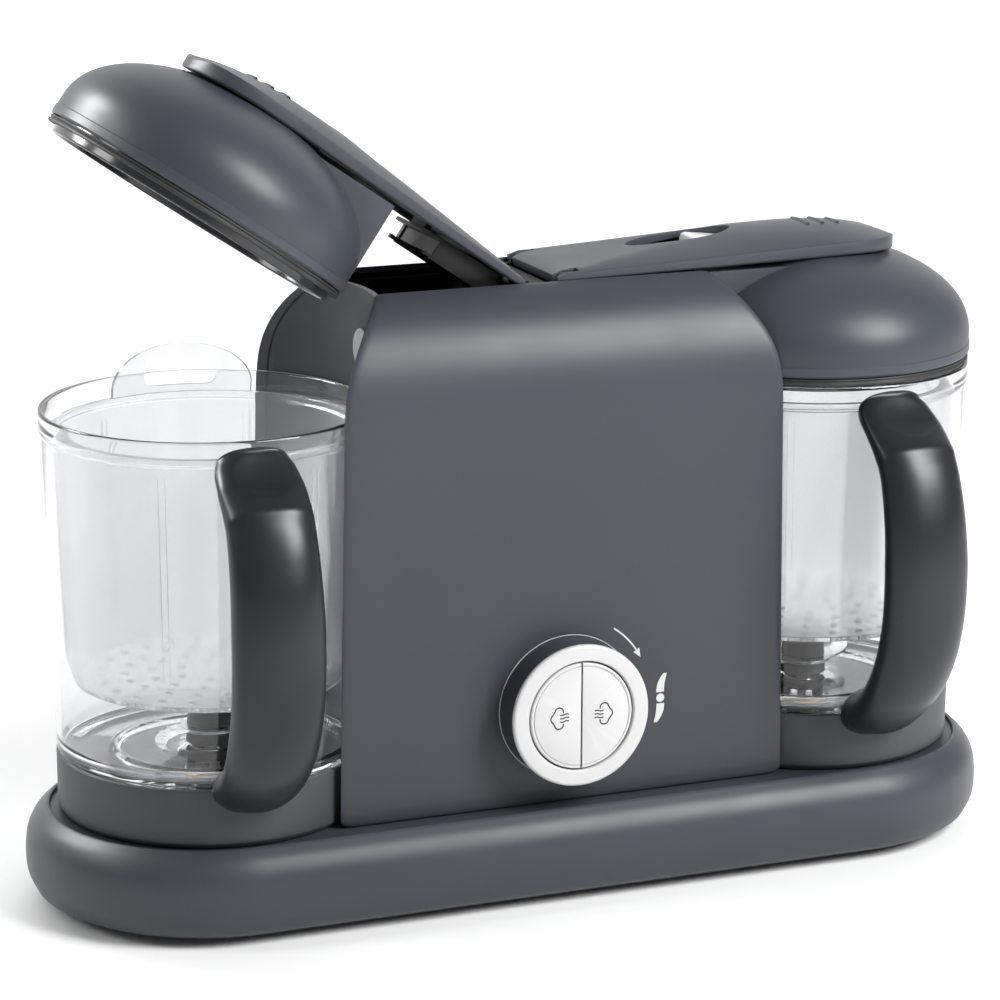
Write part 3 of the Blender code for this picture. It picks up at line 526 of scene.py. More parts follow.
def finish(made, body, slot, nodes=(), move=IDENTITY, sharp=32, look=None):
    """Bakes a shape to a plain mesh in the row frame, and hangs it on its body."""
    name = made.name
    bpy.context.view_layer.update()
    graph = bpy.context.evaluated_depsgraph_get()
    mesh = bpy.data.meshes.new_from_object(made.evaluated_get(graph))
    mesh.transform(PLACE @ move @ made.matrix_world)
    drop_tools(made)
    bpy.data.objects.remove(made, do_unlink=True)
    mesh.materials.clear()
    mesh.materials.append(looks[look or slot])
    for polygon in mesh.polygons:
        polygon.use_smooth = True
        polygon.material_index = 0
    mesh.set_sharp_from_angle(angle=math.radians(sharp))
    piece = place(name, mesh)
    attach(piece, body)
    if nodes:
        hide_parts(*nodes)
    return piece


def along(points, x):
    """The value at x on a line through (x, value) points. Values may be numbers or vectors."""
    for (x0, v0), (x1, v1) in zip(points, points[1:]):
        if x <= x1:
            return v0 + (v1 - v0) * (x - x0) / (x1 - x0)
    return points[-1][1]


def on_circle(x, y, radius, angle):
    return (x + radius * math.cos(angle), y + radius * math.sin(angle))


def ease(t):
    """From 0 to 1, slow at both ends."""
    t = min(1.0, max(0.0, t))
    return t * t * (3 - 2 * t)


def jug_axis(side):
    return (side * JUG_X, 0, 0)


def on_jug(side, angle):
    """A turn about the jug's own axis, for a shape made about the middle."""
    return Matrix.Translation((side * JUG_X * MM, 0, 0)) @ Matrix.Rotation(angle, 4, "Z")


# ======== base
def stadium(radius, height, arc=48):
    """A ring round both jugs' axes."""
    points = []
    for side in (1, -1):
        for i in range(arc + 1):
            angle = math.pi * (i / arc - 0.5)
            points.append((side * (BASE_HALF_SPAN + radius * math.cos(angle)),
                           side * radius * math.sin(angle), height))
    return points


def make_base():
    """The shell with its rolled edge, the plate that closes it, and the four feet."""
    bulge = smooth_line(((66.8, 6.0), (69.6, 12), (BASE_RADIUS - 0.02, 19), (69.5, 27), (66.6, 33),
                         (62.2, 37.3)), 5)
    outside = [(60.6, 2.7), (61.2, 2.75), (66.0, 5.3)] + [tuple(point) for point in bulge]
    outside += [(61.6, 37.45), (61.0, 37.3), (60.7, 36.9), (60.5, DECK_Z)]
    shell = loft("base_body", [stadium(*level) for level in outside])
    inside = ((58.0, 1.0), (58.0, 5.6), (66.2, 12), (BASE_RADIUS - 3, 19), (66.0, 27),
              (59.5, DECK_Z - 2.8))
    cut(shell, loft("base_hollow", [stadium(*level, 24) for level in inside]))
    for side in SIDES:
        cut(shell, rod(f"spindle_hole_{side}", SPINDLE_HOLE_RADIUS, (side * JUG_X, 0, 30), 10,
                       "UP"))
        cut(shell, turned(f"seat_groove_{side}", ((54.5, 36.5), (56.0, 36.5), (56.0, 35.2),
                                                  (54.5, 35.2)), jug_axis(side)))
    cut(shell, rod("shaft_hole", 13, (0, 8, 30), 10, "UP"))
    finish(shell, "root", "shell_plastic", ["base_shell"])

    plate = loft("bottom_plate", [stadium(57.6, 3.0), stadium(57.6, 5.2)])
    screws = [(sum(corner.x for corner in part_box(name)) / 2 / MM,
               sum(corner.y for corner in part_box(name)) / 2 / MM - SET_BACK)
              for name in ("base_screw_1", "base_screw_2")]
    for number, (x, y) in enumerate(screws):
        cut(plate, rod(f"screw_hole_{number}", 4.6, (x, y, 0), 9, "UP", 32))
    for row in range(-1, 2):
        for i in range(9):
            x, y = row * 70, -24 + 6 * i
            cut(plate, bar(f"vent_{row}_{i}", 1, (x - 15, x + 15), (y - 1.2, y + 1.2), (0, 9)))
    finish(plate, "root", "black_plastic", ["base_plate"])
    for number in range(1, 5):
        name = f"foot_{number}"
        low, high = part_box(name)
        centre = (low + high) / 2 / MM
        outline = ((0, 2.7), (9, 2.7), (9, 1.0), (8.2, 0.2), (6.5, 0.2), (6.2, 0.7), (5.4, 0.7),
                   (5.1, 0), (0, 0))
        pad = turned(f"pad_{number}", outline, (centre.x, centre.y - SET_BACK, 0), steps=64,
                     soften=0.3)
        finish(pad, "root", "rubber", [name])


# ======== block
def side_radius(z):
    """The block's sides are hollows round the jugs' axes, a little wider higher up."""
    return SIDE_RADIUS_LOW + (z - DECK_Z) * SIDE_RADIUS_GROWTH


def block_half_width(y, z, past=0.0):
    """Half the block's width at a depth and height, or at a point past its side."""
    return JUG_X - math.sqrt((side_radius(z) - past) ** 2 - y ** 2)


def block_half_depth(z, inset=0.0):
    """Straight walls, then an arch that closes at the top."""
    half = BLOCK_HALF_DEPTH - inset
    if z <= BLOCK_STRAIGHT_Z:
        return half
    rise = (z - BLOCK_STRAIGHT_Z) / (BLOCK_TOP_Z - inset - BLOCK_STRAIGHT_Z)
    return half * (1 - min(rise, 1.0) ** BLOCK_ARCH_POWER) ** (1 / BLOCK_ARCH_POWER)


def arch():
    """(depth, height) points and outward normals up the cover to the opening under the arms."""
    end = math.acos((OPENING_HALF_DEPTH / BLOCK_HALF_DEPTH) ** (BLOCK_ARCH_POWER / 2))
    points = [(BLOCK_HALF_DEPTH, BLOCK_LOW_Z + (BLOCK_STRAIGHT_Z - BLOCK_LOW_Z) * i / 24)
              for i in range(24)]
    for i in range(41):
        angle = end * (i / 40) ** 1.25
        depth = BLOCK_HALF_DEPTH * math.cos(angle) ** (2 / BLOCK_ARCH_POWER)
        rise = (BLOCK_TOP_Z - BLOCK_STRAIGHT_Z) * math.sin(angle) ** (2 / BLOCK_ARCH_POWER)
        points.append((depth, BLOCK_STRAIGHT_Z + rise))
    normals = []
    for i in range(len(points)):
        before, after = points[max(i - 1, 0)], points[min(i + 1, len(points) - 1)]
        run = Vector((after[0] - before[0], after[1] - before[1])).normalized()
        normals.append((run.y, -run.x))
    return list(zip(points, normals))


def cover(name, facing):
    """One arched skin across the block, as thick as a moulding, rounded at its sides and foot.

    Facing is -1 for the front.
    """
    columns, turns = 28, 7
    shape = bmesh.new()
    quarter = [math.pi / 2 * i / turns for i in range(turns + 1)]
    skins = []
    for inset in (0.0, COVER_WALL):
        rows = []
        levels = [((BLOCK_HALF_DEPTH - EDGE_DEPTH * (1 - math.cos(turn)),
                    BLOCK_LOW_Z + FOOT_ROUND * (1 - math.sin(turn))), (1, 0), turn)
                  for turn in reversed(quarter[1:])]
        levels += [(point, normal, 0.0) for point, normal in arch()
                   if point[1] >= BLOCK_LOW_Z + FOOT_ROUND]
        for (depth, z), (out, up), turn in levels:
            depth, z = max(depth - out * inset, OPENING_HALF_DEPTH), z - up * inset
            half = block_half_width(depth, z) - FOOT_ROUND * (1 - math.cos(turn))
            spots = [((2 * k / columns - 1) * (half - EDGE_ROUND), 0.0) for k in range(columns + 1)]
            curl = []
            for a in quarter[1:]:
                back = EDGE_DEPTH * (1 - math.cos(a))
                widest = block_half_width(depth - back * out, z - back * up, EDGE_GAP)
                curl.append((min(half - EDGE_ROUND * (1 - math.sin(a)), widest), back))
            spots = [(-x, back) for x, back in reversed(curl)] + spots + curl
            rows.append([shape.verts.new((x * MM, facing * (depth - back * out) * MM,
                                          (z - back * up) * MM)) for x, back in spots])
        skins.append(rows)
    for rows in skins:
        skin(shape, rows)
    outer, inner = skins
    for k in range(len(outer[0]) - 1):
        for end in (0, -1):
            shape.faces.new((outer[end][k], outer[end][k + 1], inner[end][k + 1], inner[end][k]))
    for i in range(len(outer) - 1):
        for end in (0, -1):
            shape.faces.new((outer[i][end], outer[i + 1][end], inner[i + 1][end], inner[i][end]))
    bmesh.ops.recalc_face_normals(shape, faces=shape.faces)
    return edged(mesh_object(name, shape), 0.3, 2, 50)


def side_wall(side, name):
    rings = []
    for level in range(41):
        z = BLOCK_LOW_Z + (231 - BLOCK_LOW_Z) * level / 40
        depth = block_half_depth(z, COVER_WALL + 0.35)
        ring = []
        for radius, turn in ((side_radius(z), 1), (side_radius(z) + SIDE_WALL, -1)):
            reach = math.asin(depth / radius)
            for i in range(33):
                angle = turn * reach * (i / 16 - 1)
                ring.append((side * (JUG_X - radius * math.cos(angle)),
                             radius * math.sin(angle), z))
        rings.append(ring)
    wall = loft(f"block_wall_{name}", rings)
    start = (side * 50, 0, STEAM_Z)
    cut(wall, rod(f"nozzle_hole_{name}", NOZZLE_RADIUS, start, 20, name.upper()))
    finish(edged(wall, 0.3), "root", "shell_plastic", [f"side_wall_{name}"])
    rim = ((1.2, 64.6), (7.4, 64.9), (8.1, 64.3), (8.1, 63.6), (4.5, 63.6), (4.5, 53), (1.2, 53))
    nozzle = turned(f"steam_outlet_{name}", rim, (0, 0, STEAM_Z), name.upper(), 64, 0.4)
    finish(nozzle, "root", "grey_plastic", [f"steam_nozzle_{name}"])


def make_deck():
    """The black tray under the arms, with its hinge ears, ribs and two filler funnels."""
    deck = bar("deck_tray", 1, (-59.5, 59.5), (-25.2, 25.2), (219.5, 221.5))
    for end in ENDS:
        join(deck, bar(f"upstand_{end}", 1, (-59.3, 59.3), (end * 23.2, end * 25), (220.1, 230.2)))
        ear_x, ear_y = HINGE_X + EAR_RADIUS, end * EAR_Y
        join(deck, bar(f"ears_{end}", 1, (-ear_x, ear_x),
                       (ear_y - EAR_HALF_THICKNESS, ear_y + EAR_HALF_THICKNESS),
                       (221, HINGE_Z - 0.2)))
        cut(deck, bar(f"ear_gap_{end}", 1, (-5.4, 5.4), (ear_y - 3, ear_y + 3), (233, 240)))
    join(deck, bar("spine", 1, (-4.4, 4.4), (-23.9, 23.9), (220.7, 232.4)))
    for side in SIDES:
        for number, x in enumerate((15, 44, 52)):
            join(deck, bar(f"deck_rib_{side}_{number}", side, (x, x + 1.2), (-23.4, 23.4),
                           (220.9, 223.2)))
        funnel = ((7.6, 222.6), (9.6, 222.6), (9.6, 221), (7.7, 218), (7.6, 212.4),
                  (FILLER_RADIUS, 212.4), (FILLER_RADIUS, 219))
        join(deck, turned(f"funnel_{side}", funnel, (side * BOILER_X, 0, 0), steps=48))
        cut(deck, rod(f"filler_{side}", FILLER_RADIUS, (side * BOILER_X, 0, 210), 16, "UP"))
        for end in ENDS:
            start = (side * HINGE_X, end * EAR_Y - EAR_HALF_THICKNESS - 0.1, HINGE_Z)
            join(deck, rod(f"ear_top_{side}_{end}", EAR_RADIUS, start,
                           2 * EAR_HALF_THICKNESS + 0.2, "BACK", 32))
        cut(deck, rod(f"pin_bore_{side}", PIN_BORE_RADIUS, (side * HINGE_X, -30, HINGE_Z), 60,
                      "BACK", 24))
    finish(deck, "root", "black_plastic", ["top_deck"])
    for side, name in SIDES.items():
        pin = turned(f"lid_pin_{name}", softened(((0, 47.2), (PIN_RADIUS, 47.2), (PIN_RADIUS, 0),
                                                  (0, 0)), 0.2),
                     (side * HINGE_X, -23.6, HINGE_Z), "BACK", 24)
        finish(pin, "root", "steel", [f"hinge_pin_{name}"])


def make_block():
    front = cover("front_panel", -1)
    cut(front, rod("knob_hole", 24.7, (0, -60, KNOB_Z), 20, "BACK", 96))
    finish(front, "root", "shell_plastic", ["front_cover"])
    rear = cover("rear_panel", 1)
    cut(rear, rod("gland_hole", 5.4, (GLAND_X, 40, GLAND_Z), 20, "BACK"))
    finish(rear, "root", "shell_plastic", ["rear_cover"])
    for side, name in SIDES.items():
        side_wall(side, name)
    make_deck()
    outline = ((3.2, 57), (6, 57), (8, 54.5), (8, 51.9), (5, 51.9), (5, 46), (3.2, 46))
    gland = turned("mains_gland", outline, (GLAND_X, 0, GLAND_Z), "BACK", 64, 0.6)
    finish(gland, "root", "black_plastic", ["cord_gland"])


# ======== knob, buttons and icons
def make_knob():
    """The dark sleeve, the white ring in front, and a thin trim where they meet the cover."""
    barrel = ((21.3, 63.6), (27.6, 63.6), (27.6, 51.9), (24.0, 51.9), (24.0, 46.2), (21.3, 46.2))
    face = ((21.45, 65.7), (21.9, KNOB_FRONT), (27.0, KNOB_FRONT - 0.15), (KNOB_RADIUS, 65.5),
            (KNOB_RADIUS, 63.9), (21.45, 63.9))
    trim = ((27.8, 52.1), (28.15, 52.05), (28.15, 51.7), (27.8, 51.7))
    for name, outline, soften, body, slot, nodes in (
            ("knob_barrel", barrel, 0.3, "knob", "shell_plastic", ["knob_sleeve"]),
            ("knob_face", face, 0.45, "knob", "white_plastic", ["knob_ring"]),
            ("knob_trim", trim, 0.15, "root", "grey_plastic", ())):
        finish(turned(name, outline, (0, 0, KNOB_Z), "FRONT", soften=soften), body, slot, nodes)


def make_divider():
    """The black rib that fills the gap between the two buttons."""
    divider = bar("button_divider", 1, (-0.3, 0.3), (-BUTTON_FRONT + 0.5, -58),
                  (KNOB_Z - 20.4, KNOB_Z + 20.4))
    finish(edged(divider, 0.1), "root", "black_plastic")


def make_button(side, name):
    """Half a disc with a groove near its rim, its stem, and a cloud with three lines of steam."""
    groove = BUTTON_RADIUS - 1.5
    outline = ((0, BUTTON_FRONT), (groove, BUTTON_FRONT), (groove + 0.05, BUTTON_FRONT - 0.4),
               (groove + 0.4, BUTTON_FRONT - 0.4), (groove + 0.45, BUTTON_FRONT),
               (BUTTON_RADIUS - 0.4, BUTTON_FRONT), (BUTTON_RADIUS, 65.5), (BUTTON_RADIUS, 60.4),
               (0, 60.4))
    disc = turned(f"button_cap_{name}", outline, (0, 0, KNOB_Z), "FRONT")
    cut(disc, bar(f"button_split_{name}", side, (-30, 0.36), (-80, -40),
                  (KNOB_Z - 30, KNOB_Z + 30)))
    join(disc, rod(f"stem_{name}", 2.6, (side * 9.5, -62, KNOB_Z), 15, "BACK", 32))
    finish(edged(disc, 0.12), f"button_{name}", "white_plastic", [f"steam_button_{name}"])

    def on_face(x, z):
        return (side * x, -BUTTON_FRONT - 0.02, KNOB_Z + z)

    cloud = []
    for x, z, radius, start, end in ((9.3, 2.5, 1.75, 190, 10), (10.9, 0.0, 1.75, 55, -55),
                                     (9.3, -2.5, 1.75, -10, -190)):
        for i in range(13):
            angle = math.radians(start + (end - start) * i / 12)
            cloud.append(on_face(*on_circle(x, z, radius, angle)))
    lines = [tube(f"steam_icon_{name}", cloud, 0.24)]
    for number, z in enumerate((-1.35, 0.0, 1.35)):
        run = [on_face(5.3 + 3.6 * i / 10, z + 0.22 * math.sin(math.tau * i / 10))
               for i in range(11)]
        lines.append(tube(f"steam_line_{name}_{number}", run, 0.22))
    for line in lines:
        finish(line, f"button_{name}", "black_plastic")


def flat_icon(name, outline):
    """A printed shape just proud of the front cover, from (x, z) points."""
    rings = [[(x, -BLOCK_HALF_DEPTH - out, z) for x, z in outline] for out in (-0.05, 0.06)]
    finish(loft(name, rings), "root", "white_plastic")


def make_icons():
    """A turning arrow, and a two-winged blade, beside the knob."""
    def round_knob(past, degrees):
        return on_circle(0, KNOB_Z, ARROW_RADIUS + past, math.radians(degrees))

    start, end = ARROW_LINE_DEG
    sweep = [start + (end - start) * i / 16 for i in range(17)]
    flat_icon("arrow_line", [round_knob(0.3, degrees) for degrees in sweep]
              + [round_knob(-0.3, degrees) for degrees in reversed(sweep)])
    flat_icon("arrow_head", [round_knob(0, ARROW_TIP_DEG), round_knob(1.45, ARROW_FOOT_DEG),
                             round_knob(-1.45, ARROW_FOOT_DEG)])
    middle = Vector((BLADE_ICON_X, KNOB_Z - BLADE_ICON_DROP))
    for turn in (0, 1):
        wing = []
        for part in range(13):
            t = part / 12
            wing.append((1.5 + 1.1 * t ** 2, 2.3 + 7.4 * t))
        for part in range(13):
            t = 1 - part / 12
            wing.append((-1.7 + 2.9 * t ** 2.4, 2.3 + 7.4 * t))
        flip = -1 if turn else 1
        flat_icon(f"blade_icon_{turn}", [(middle.x + flip * x, middle.y + flip * z)
                                         for x, z in wing])
    circle = [on_circle(*middle, BLADE_ICON_HUB, math.tau * i / 24) for i in range(24)]
    flat_icon("blade_icon_hub", circle)


# ======== jugs
def make_bowl(side, name):
    outline = ((60.3, 191.2), (60.9, RIM_Z - 0.1), (61.8, RIM_Z), (RIM_RADIUS, 191.2),
               (RIM_RADIUS, LIP_LOW_Z + 0.6), (WALL_TOP_RADIUS, LIP_LOW_Z - 0.4),
               (WALL_LOW_RADIUS, 60.6), (56.0, 59.9), (56.0, 56.5), (6.5, 56.5), (6.5, 61.2),
               (9, 61.9), (12, 61.0), (20, 60.6), (34, 60.4), (36, 61.4), (38, 60.4), (50, 60.3),
               (54.2, 61.6), (56.0, 66), (59.0, LIP_LOW_Z))
    bowl = turned(f"jug_{name}", outline, jug_axis(side), soften=0.7)
    finish(bowl, f"jug_{name}", "clear_plastic", [f"jug_bowl_{name}"])
    outline = ((56.5, RING_TOP_Z), (RING_RADIUS, RING_TOP_Z), (58.4, 38.5), (56.6, DECK_Z + 0.3),
               (50, DECK_Z + 0.3), (54.8, 40.6), (54.8, 56.1), (56.5, 56.1))
    ring = turned(f"jug_collar_{name}", outline, jug_axis(side), soften=0.6)
    finish(ring, f"jug_{name}", "ring_plastic", [f"jug_ring_{name}"])


def squircle(count, roundness):
    """A rounded square's points, as (across, outward) from -1 to 1."""
    points = []
    for i in range(count):
        angle = math.tau * (i + 0.5) / count
        points.append([math.copysign(abs(part) ** (2 / roundness), part)
                       for part in (math.cos(angle), math.sin(angle))])
    return points


def spread_evenly(points, count):
    """The same line through so many points, equally far apart."""
    lengths = [0.0]
    for before, after in zip(points, points[1:]):
        lengths.append(lengths[-1] + (after - before).length)
    return [along(list(zip(lengths, points)), lengths[-1] * i / (count - 1)) for i in range(count)]


def clear_of_jug(height):
    """How far from its axis the jug keeps its handle at this height."""
    return along(((30, RING_RADIUS + 0.15), (59, RING_RADIUS + 0.15), (61, WALL_LOW_RADIUS + 0.4),
                  (LIP_LOW_Z - 1, WALL_TOP_RADIUS + 0.2), (LIP_LOW_Z, RIM_RADIUS + 0.2),
                  (205, RIM_RADIUS + 0.2)), height)


def make_handle(side, name):
    """A flat top with a thumb dimple, a fold, and a round front that comes down to the collar."""
    turn = Matrix.Rotation(math.radians(HANDLE_TURN[side]), 3, "Z")
    stations = 150
    around = 96
    top = round(stations * FOLD)
    outer = spread_evenly(smooth_line(HANDLE_FACET, 8), top)
    outer += spread_evenly(smooth_line(HANDLE_FRONT, 8), stations - top + 1)[1:]
    inner = spread_evenly(smooth_line(HANDLE_INNER, 8), stations)
    rings = []
    for i, (out_point, in_point) in enumerate(zip(outer, inner)):
        part = i / (stations - 1)
        flat = ease((top + 3 - i) / 7)
        width = along(HANDLE_HALF_WIDTHS, part)
        ring = []
        for (x_round, out_round), (x_flat, out_flat) in zip(squircle(around, 2.15),
                                                            squircle(around, 2.4)):
            across = x_round + (x_flat - x_round) * flat
            out = out_round + (out_flat - out_round) * flat
            spot = in_point + (out_point - in_point) * (out + 1) / 2
            x, reach, height = across * width, spot.x, spot.y
            if out > 0.2:
                away = math.hypot((x - DIMPLE[0]) / DIMPLE_REACH[0],
                                  (reach - DIMPLE[1]) / DIMPLE_REACH[1])
                depth = DIMPLE_DEPTH * max(0.0, 1 - away ** 2) ** 1.2
                reach, height = reach - DIMPLE_WAY[0] * depth, height - DIMPLE_WAY[1] * depth
            outward = max(1.0, clear_of_jug(height) / math.hypot(x, reach))
            spot = Vector((x * outward, -reach * outward, height))
            ring.append(turn @ spot + Vector(jug_axis(side)))
        rings.append(ring)
    handle = loft(f"handle_{name}", rings, strips=True)
    # The handle takes the glossier, darker copy of the body plastic; its darkness is partly painted shade.
    finish(handle, f"jug_{name}", "shell_plastic", [f"jug_handle_{name}"], sharp=50,
           look="handle_plastic")


def make_blades(side, name):
    """The hub with its dog clutch, and a plate with two curved wings."""
    outline = ((0, 76.6), (4.5, 76.2), (8.2, 74.4), (8.8, 68.4), (6.0, 68.4), (6.0, 66.2),
               (9.0, 66.2), (9.2, 61.6), (6.0, 61.6), (6.0, 56.1), (9.2, 56.1), (9.2, 52.1),
               (0, 52.1))
    hub = turned(f"hub_{name}", outline, jug_axis(side), steps=64, soften=0.5)
    for i in range(3):
        angle = math.pi / 3 + math.tau * i / 3
        tooth = bar(f"hub_dog_{name}_{i}", 1, (6.0, 9.4), (-1.4, 1.4), (47.3, 53))
        tooth.matrix_basis = on_jug(side, angle)
        join(hub, tooth)
    finish(hub, f"blade_{name}", "black_plastic", [f"blade_hub_{name}"])
    plate = turned(f"knife_{name}", ((6.3, 67.9), (11, 67.9), (11, 66.7), (6.3, 66.7)),
                   jug_axis(side), steps=64)
    for wing, tilt in ((0, 0.10), (1, -0.04)):
        rings = []
        for i in range(25):
            part = i / 24
            reach = 9 + 24 * part
            angle = math.pi * wing + 0.75 * part ** 1.3
            width = 5.5 * (1 - 0.75 * part ** 1.5)
            rise = 67.3 + tilt * (reach - 9)
            run = Vector((math.cos(angle), math.sin(angle), 0))
            across = Vector((-run.y, run.x, 0))
            middle = Vector((side * JUG_X, 0, rise)) + run * reach
            rings.append([middle + across * width * u + Vector((0, 0, v))
                          for u, v in ((-1, -0.5), (0.5, -0.4), (1, -0.06), (1, 0.06), (0.5, 0.4),
                                       (-1, 0.5))])
        join(plate, loft(f"wing_{name}_{wing}", rings))
    finish(plate, f"blade_{name}", "steel", [f"blades_{name}"])


def grip_rings():
    """The basket's round tab, which leans inward as it rises."""
    rings = []
    for i in range(41):
        part = i / 40
        z = GRIP_LOW_Z + (GRIP_TOP_Z - GRIP_LOW_Z) * part
        radius = GRIP_REACH - GRIP_LEAN * (z - GRIP_LOW_Z)
        half = 28 * math.sqrt(1 - max(0.0, part - 0.25) ** 2 / 0.58)
        ring = []
        for reach, turn in ((radius, 1), (radius + GRIP_THICKNESS, -1)):
            for k in range(33):
                angle = math.pi / 2 + turn * half / radius * (k / 16 - 1)
                ring.append((*on_circle(0, 0, reach, angle), z))
        rings.append(ring)
    return rings


def grip_hole(y):
    """A wide opening with round corners."""
    points = []
    for corner, (x, z) in enumerate(((10.5, 196.5), (-10.5, 196.5), (-10.5, 191), (10.5, 191))):
        for i in range(9):
            angle = math.pi / 2 * (corner + i / 8)
            points.append((x + 3.5 * math.cos(angle), y, z + 3.5 * math.sin(angle)))
    return points


def make_basket(side, name):
    outline = ((0, 89), (49.5, 89), (52.4, 97), (55.6, BASKET_TOP_Z), (BASKET_RADIUS, BASKET_TOP_Z),
               (BASKET_RADIUS, 182), (57.2, 181), (54.0, 97), (50.5, BASKET_LOW_Z),
               (0, BASKET_LOW_Z))
    basket = turned(f"basket_cup_{name}", softened(outline, 0.7), jug_axis(side))
    for i in range(12):
        angle = math.radians(RIB_ANGLE + 60 * (i // 2) + (1.3 if i % 2 else -1.3))
        ridge = ((-0.6, -0.4), (0.4, -0.3), (0.4, 0.3), (-0.6, 0.4))
        rib = loft(f"basket_rib_{name}_{i}", [[(radius + out, y, z) for out, y in ridge]
                                              for radius, z in ((53.9, 99), (55.4, 133),
                                                                (56.95, 177))])
        rib.matrix_basis = on_jug(side, angle)
        join(basket, rib)
    drains = []
    for radius, count in DRAIN_RINGS:
        for i in range(count):
            angle = math.tau * (i + 0.25) / count
            drains.append(on_circle(side * JUG_X, 0, radius, angle))
    shape = bmesh.new()
    for x, y in drains:
        made = bmesh.ops.create_cone(shape, cap_ends=True, segments=12, depth=20 * MM,
                                     radius1=DRAIN_RADIUS * MM, radius2=DRAIN_RADIUS * MM)
        bmesh.ops.translate(shape, vec=Vector((x, y, 88)) * MM, verts=made["verts"])
    cut(basket, mesh_object(f"drains_{name}", shape))
    grip = loft(f"grip_{name}", grip_rings())
    hole = loft(f"grip_hole_{name}", [grip_hole(GRIP_REACH - 9), grip_hole(GRIP_REACH + 9)])
    for shape in (grip, hole):
        shape.matrix_basis = on_jug(side, math.radians(side * GRIP_TURN))
    join(basket, cut(grip, hole))
    body = "basket_left" if side < 0 else "jug_right"
    finish(basket, body, "frosted_plastic", [f"steam_basket_{name}"])


# ======== lids
def dome_radius(z, inset=0.0):
    """A dome that stands straight at its foot and flattens to its top."""
    part = (z - DOME_LOW_Z) / (DOME_APEX_Z - inset - DOME_LOW_Z)
    if part <= 0:
        return DOME_RADIUS - inset
    return (DOME_RADIUS - inset) * (1 - part ** DOME_RISE_POWER) ** (1 / DOME_PLAN_POWER)


def dome_outline(top, inset, levels=32):
    points = [(0, top)]
    for i in range(levels + 1):
        z = DOME_LOW_Z + (top - DOME_LOW_Z) * (1 - (i / levels) ** 1.5)
        points.append((dome_radius(z, inset), z))
    return points


def neck_plan(side, radius, half_width, z, depth):
    """The neck between the dome and the block, with an arc that fits the block's side."""
    points = []
    reach = math.asin(half_width / radius)
    for i in range(25):
        angle = reach * (i / 12 - 1)
        points.append((side * (JUG_X - radius * math.cos(angle)), radius * math.sin(angle), z))
    points.append((side * (JUG_X - depth), half_width, z))
    points.append((side * (JUG_X - depth), -half_width, z))
    return points


def make_dome(side, name, move):
    centre = (side * JUG_X, 0, 0)
    outline = dome_outline(DOME_FLAT_Z, 0)
    outline += [(62.4, 199.4), (62.7, 199.1), (62.7, 196.2), (62.2, DOME_EDGE_Z),
                (0, DOME_EDGE_Z)]
    dome = turned(f"dome_{name}", outline, centre)
    neck = [neck_plan(side, 62.5, NECK_HALF_WIDTH, z, 10) for z in (203.5, 214, 224, NECK_TOP_Z)]
    join(dome, loft(f"neck_{name}", neck))
    hollow = dome_outline(DOME_FLAT_Z - DOME_WALL, DOME_WALL, 12)
    hollow += [(DOME_RADIUS - DOME_WALL, 190), (0, 190)]
    cut(dome, turned(f"dome_hollow_{name}", hollow, centre, steps=96))
    inner = [neck_plan(side, 60.3, NECK_HALF_WIDTH - 2.2, z, 14) for z in (205, NECK_TOP_Z - 2.2)]
    cut(dome, loft(f"neck_hollow_{name}", inner))
    cut(dome, rod(f"dome_steam_{name}", 8.5, (side * 55, 0, STEAM_Z), 20, name.upper()))
    for end in ENDS:
        cut(dome, bar(f"neck_notch_{name}_{end}", side, (60, 67.4), (end * 20, end * 27),
                      (223.5, 226.0)))
    finish(dome, f"lid_{name}", "shell_plastic", [f"lid_dome_{name}"], move, 28)


def make_liner(side, name, move):
    outline = ((0, 217), (49.5, 217), (57.4, 208), (59.2, 203), (59.2, 189.4), (57.4, 189.4),
               (57.4, 202.6), (55.6, 207.2), (48.8, 215.4), (0, 215.4))
    liner = turned(f"liner_{name}", softened(outline, 1.0), jug_axis(side))
    for i in range(4):
        radius = 14 + 9 * i
        groove = ((radius, 216.0), (radius + 1.0, 216.0), (radius + 1.0, 214.9), (radius, 214.9))
        join(liner, turned(f"liner_step_{name}_{i}", groove, jug_axis(side), steps=96))
    cut(liner, rod(f"liner_steam_{name}", 6.5, (side * 55, 0, STEAM_Z), 25, name.upper()))
    finish(liner, f"lid_{name}", "liner_plastic", [f"lid_liner_{name}"], move)
    lips = ((59.8, 194.9), (62.0, 194.9), (62.2, 194.4), (61.6, 193.9), (62.2, 193.4),
            (62.2, 192.5), (61.8, 192.3), (59.8, 192.3))
    seal = turned(f"seal_{name}", softened(lips, 0.25), jug_axis(side))
    finish(seal, f"lid_{name}", "rubber", [f"lid_seal_{name}"], move)


def arm_bottom(x):
    droop = max(0.0, (x - 132) / (ARM_TIP_X - 132))
    return 233.4 + 0.02 * (x - ARM_INNER_X) - 1.4 * droop ** 2


def arm_half_width(x):
    if x <= ARM_ROUND_X:
        return ARM_HALF_WIDTH
    part = min(1.0, (x - ARM_ROUND_X) / (ARM_TIP_X + 0.1 - ARM_ROUND_X))
    return ARM_HALF_WIDTH * (1 - part ** 2.6) ** 0.5


crown_line = [tuple(point) for point in smooth_line(ARM_CROWN, 8)]


def arm_crease(x):
    return min(arm_bottom(x) + 2.9 + 0.018 * (x - ARM_INNER_X), along(crown_line, x) - 0.02)


def arm_top(x, y):
    crown = along(crown_line, x)
    crease = arm_crease(x)
    half = arm_half_width(x)
    facet = half * max(0.0, 1 - (x - ARM_INNER_X) / 76)
    part = max(0.0, (abs(y) - facet) / max(half - facet, 0.01))
    power = 1.15 + 0.75 * min(1.0, x / 110)
    return crown - (crown - crease) * min(part, 1.0) ** power


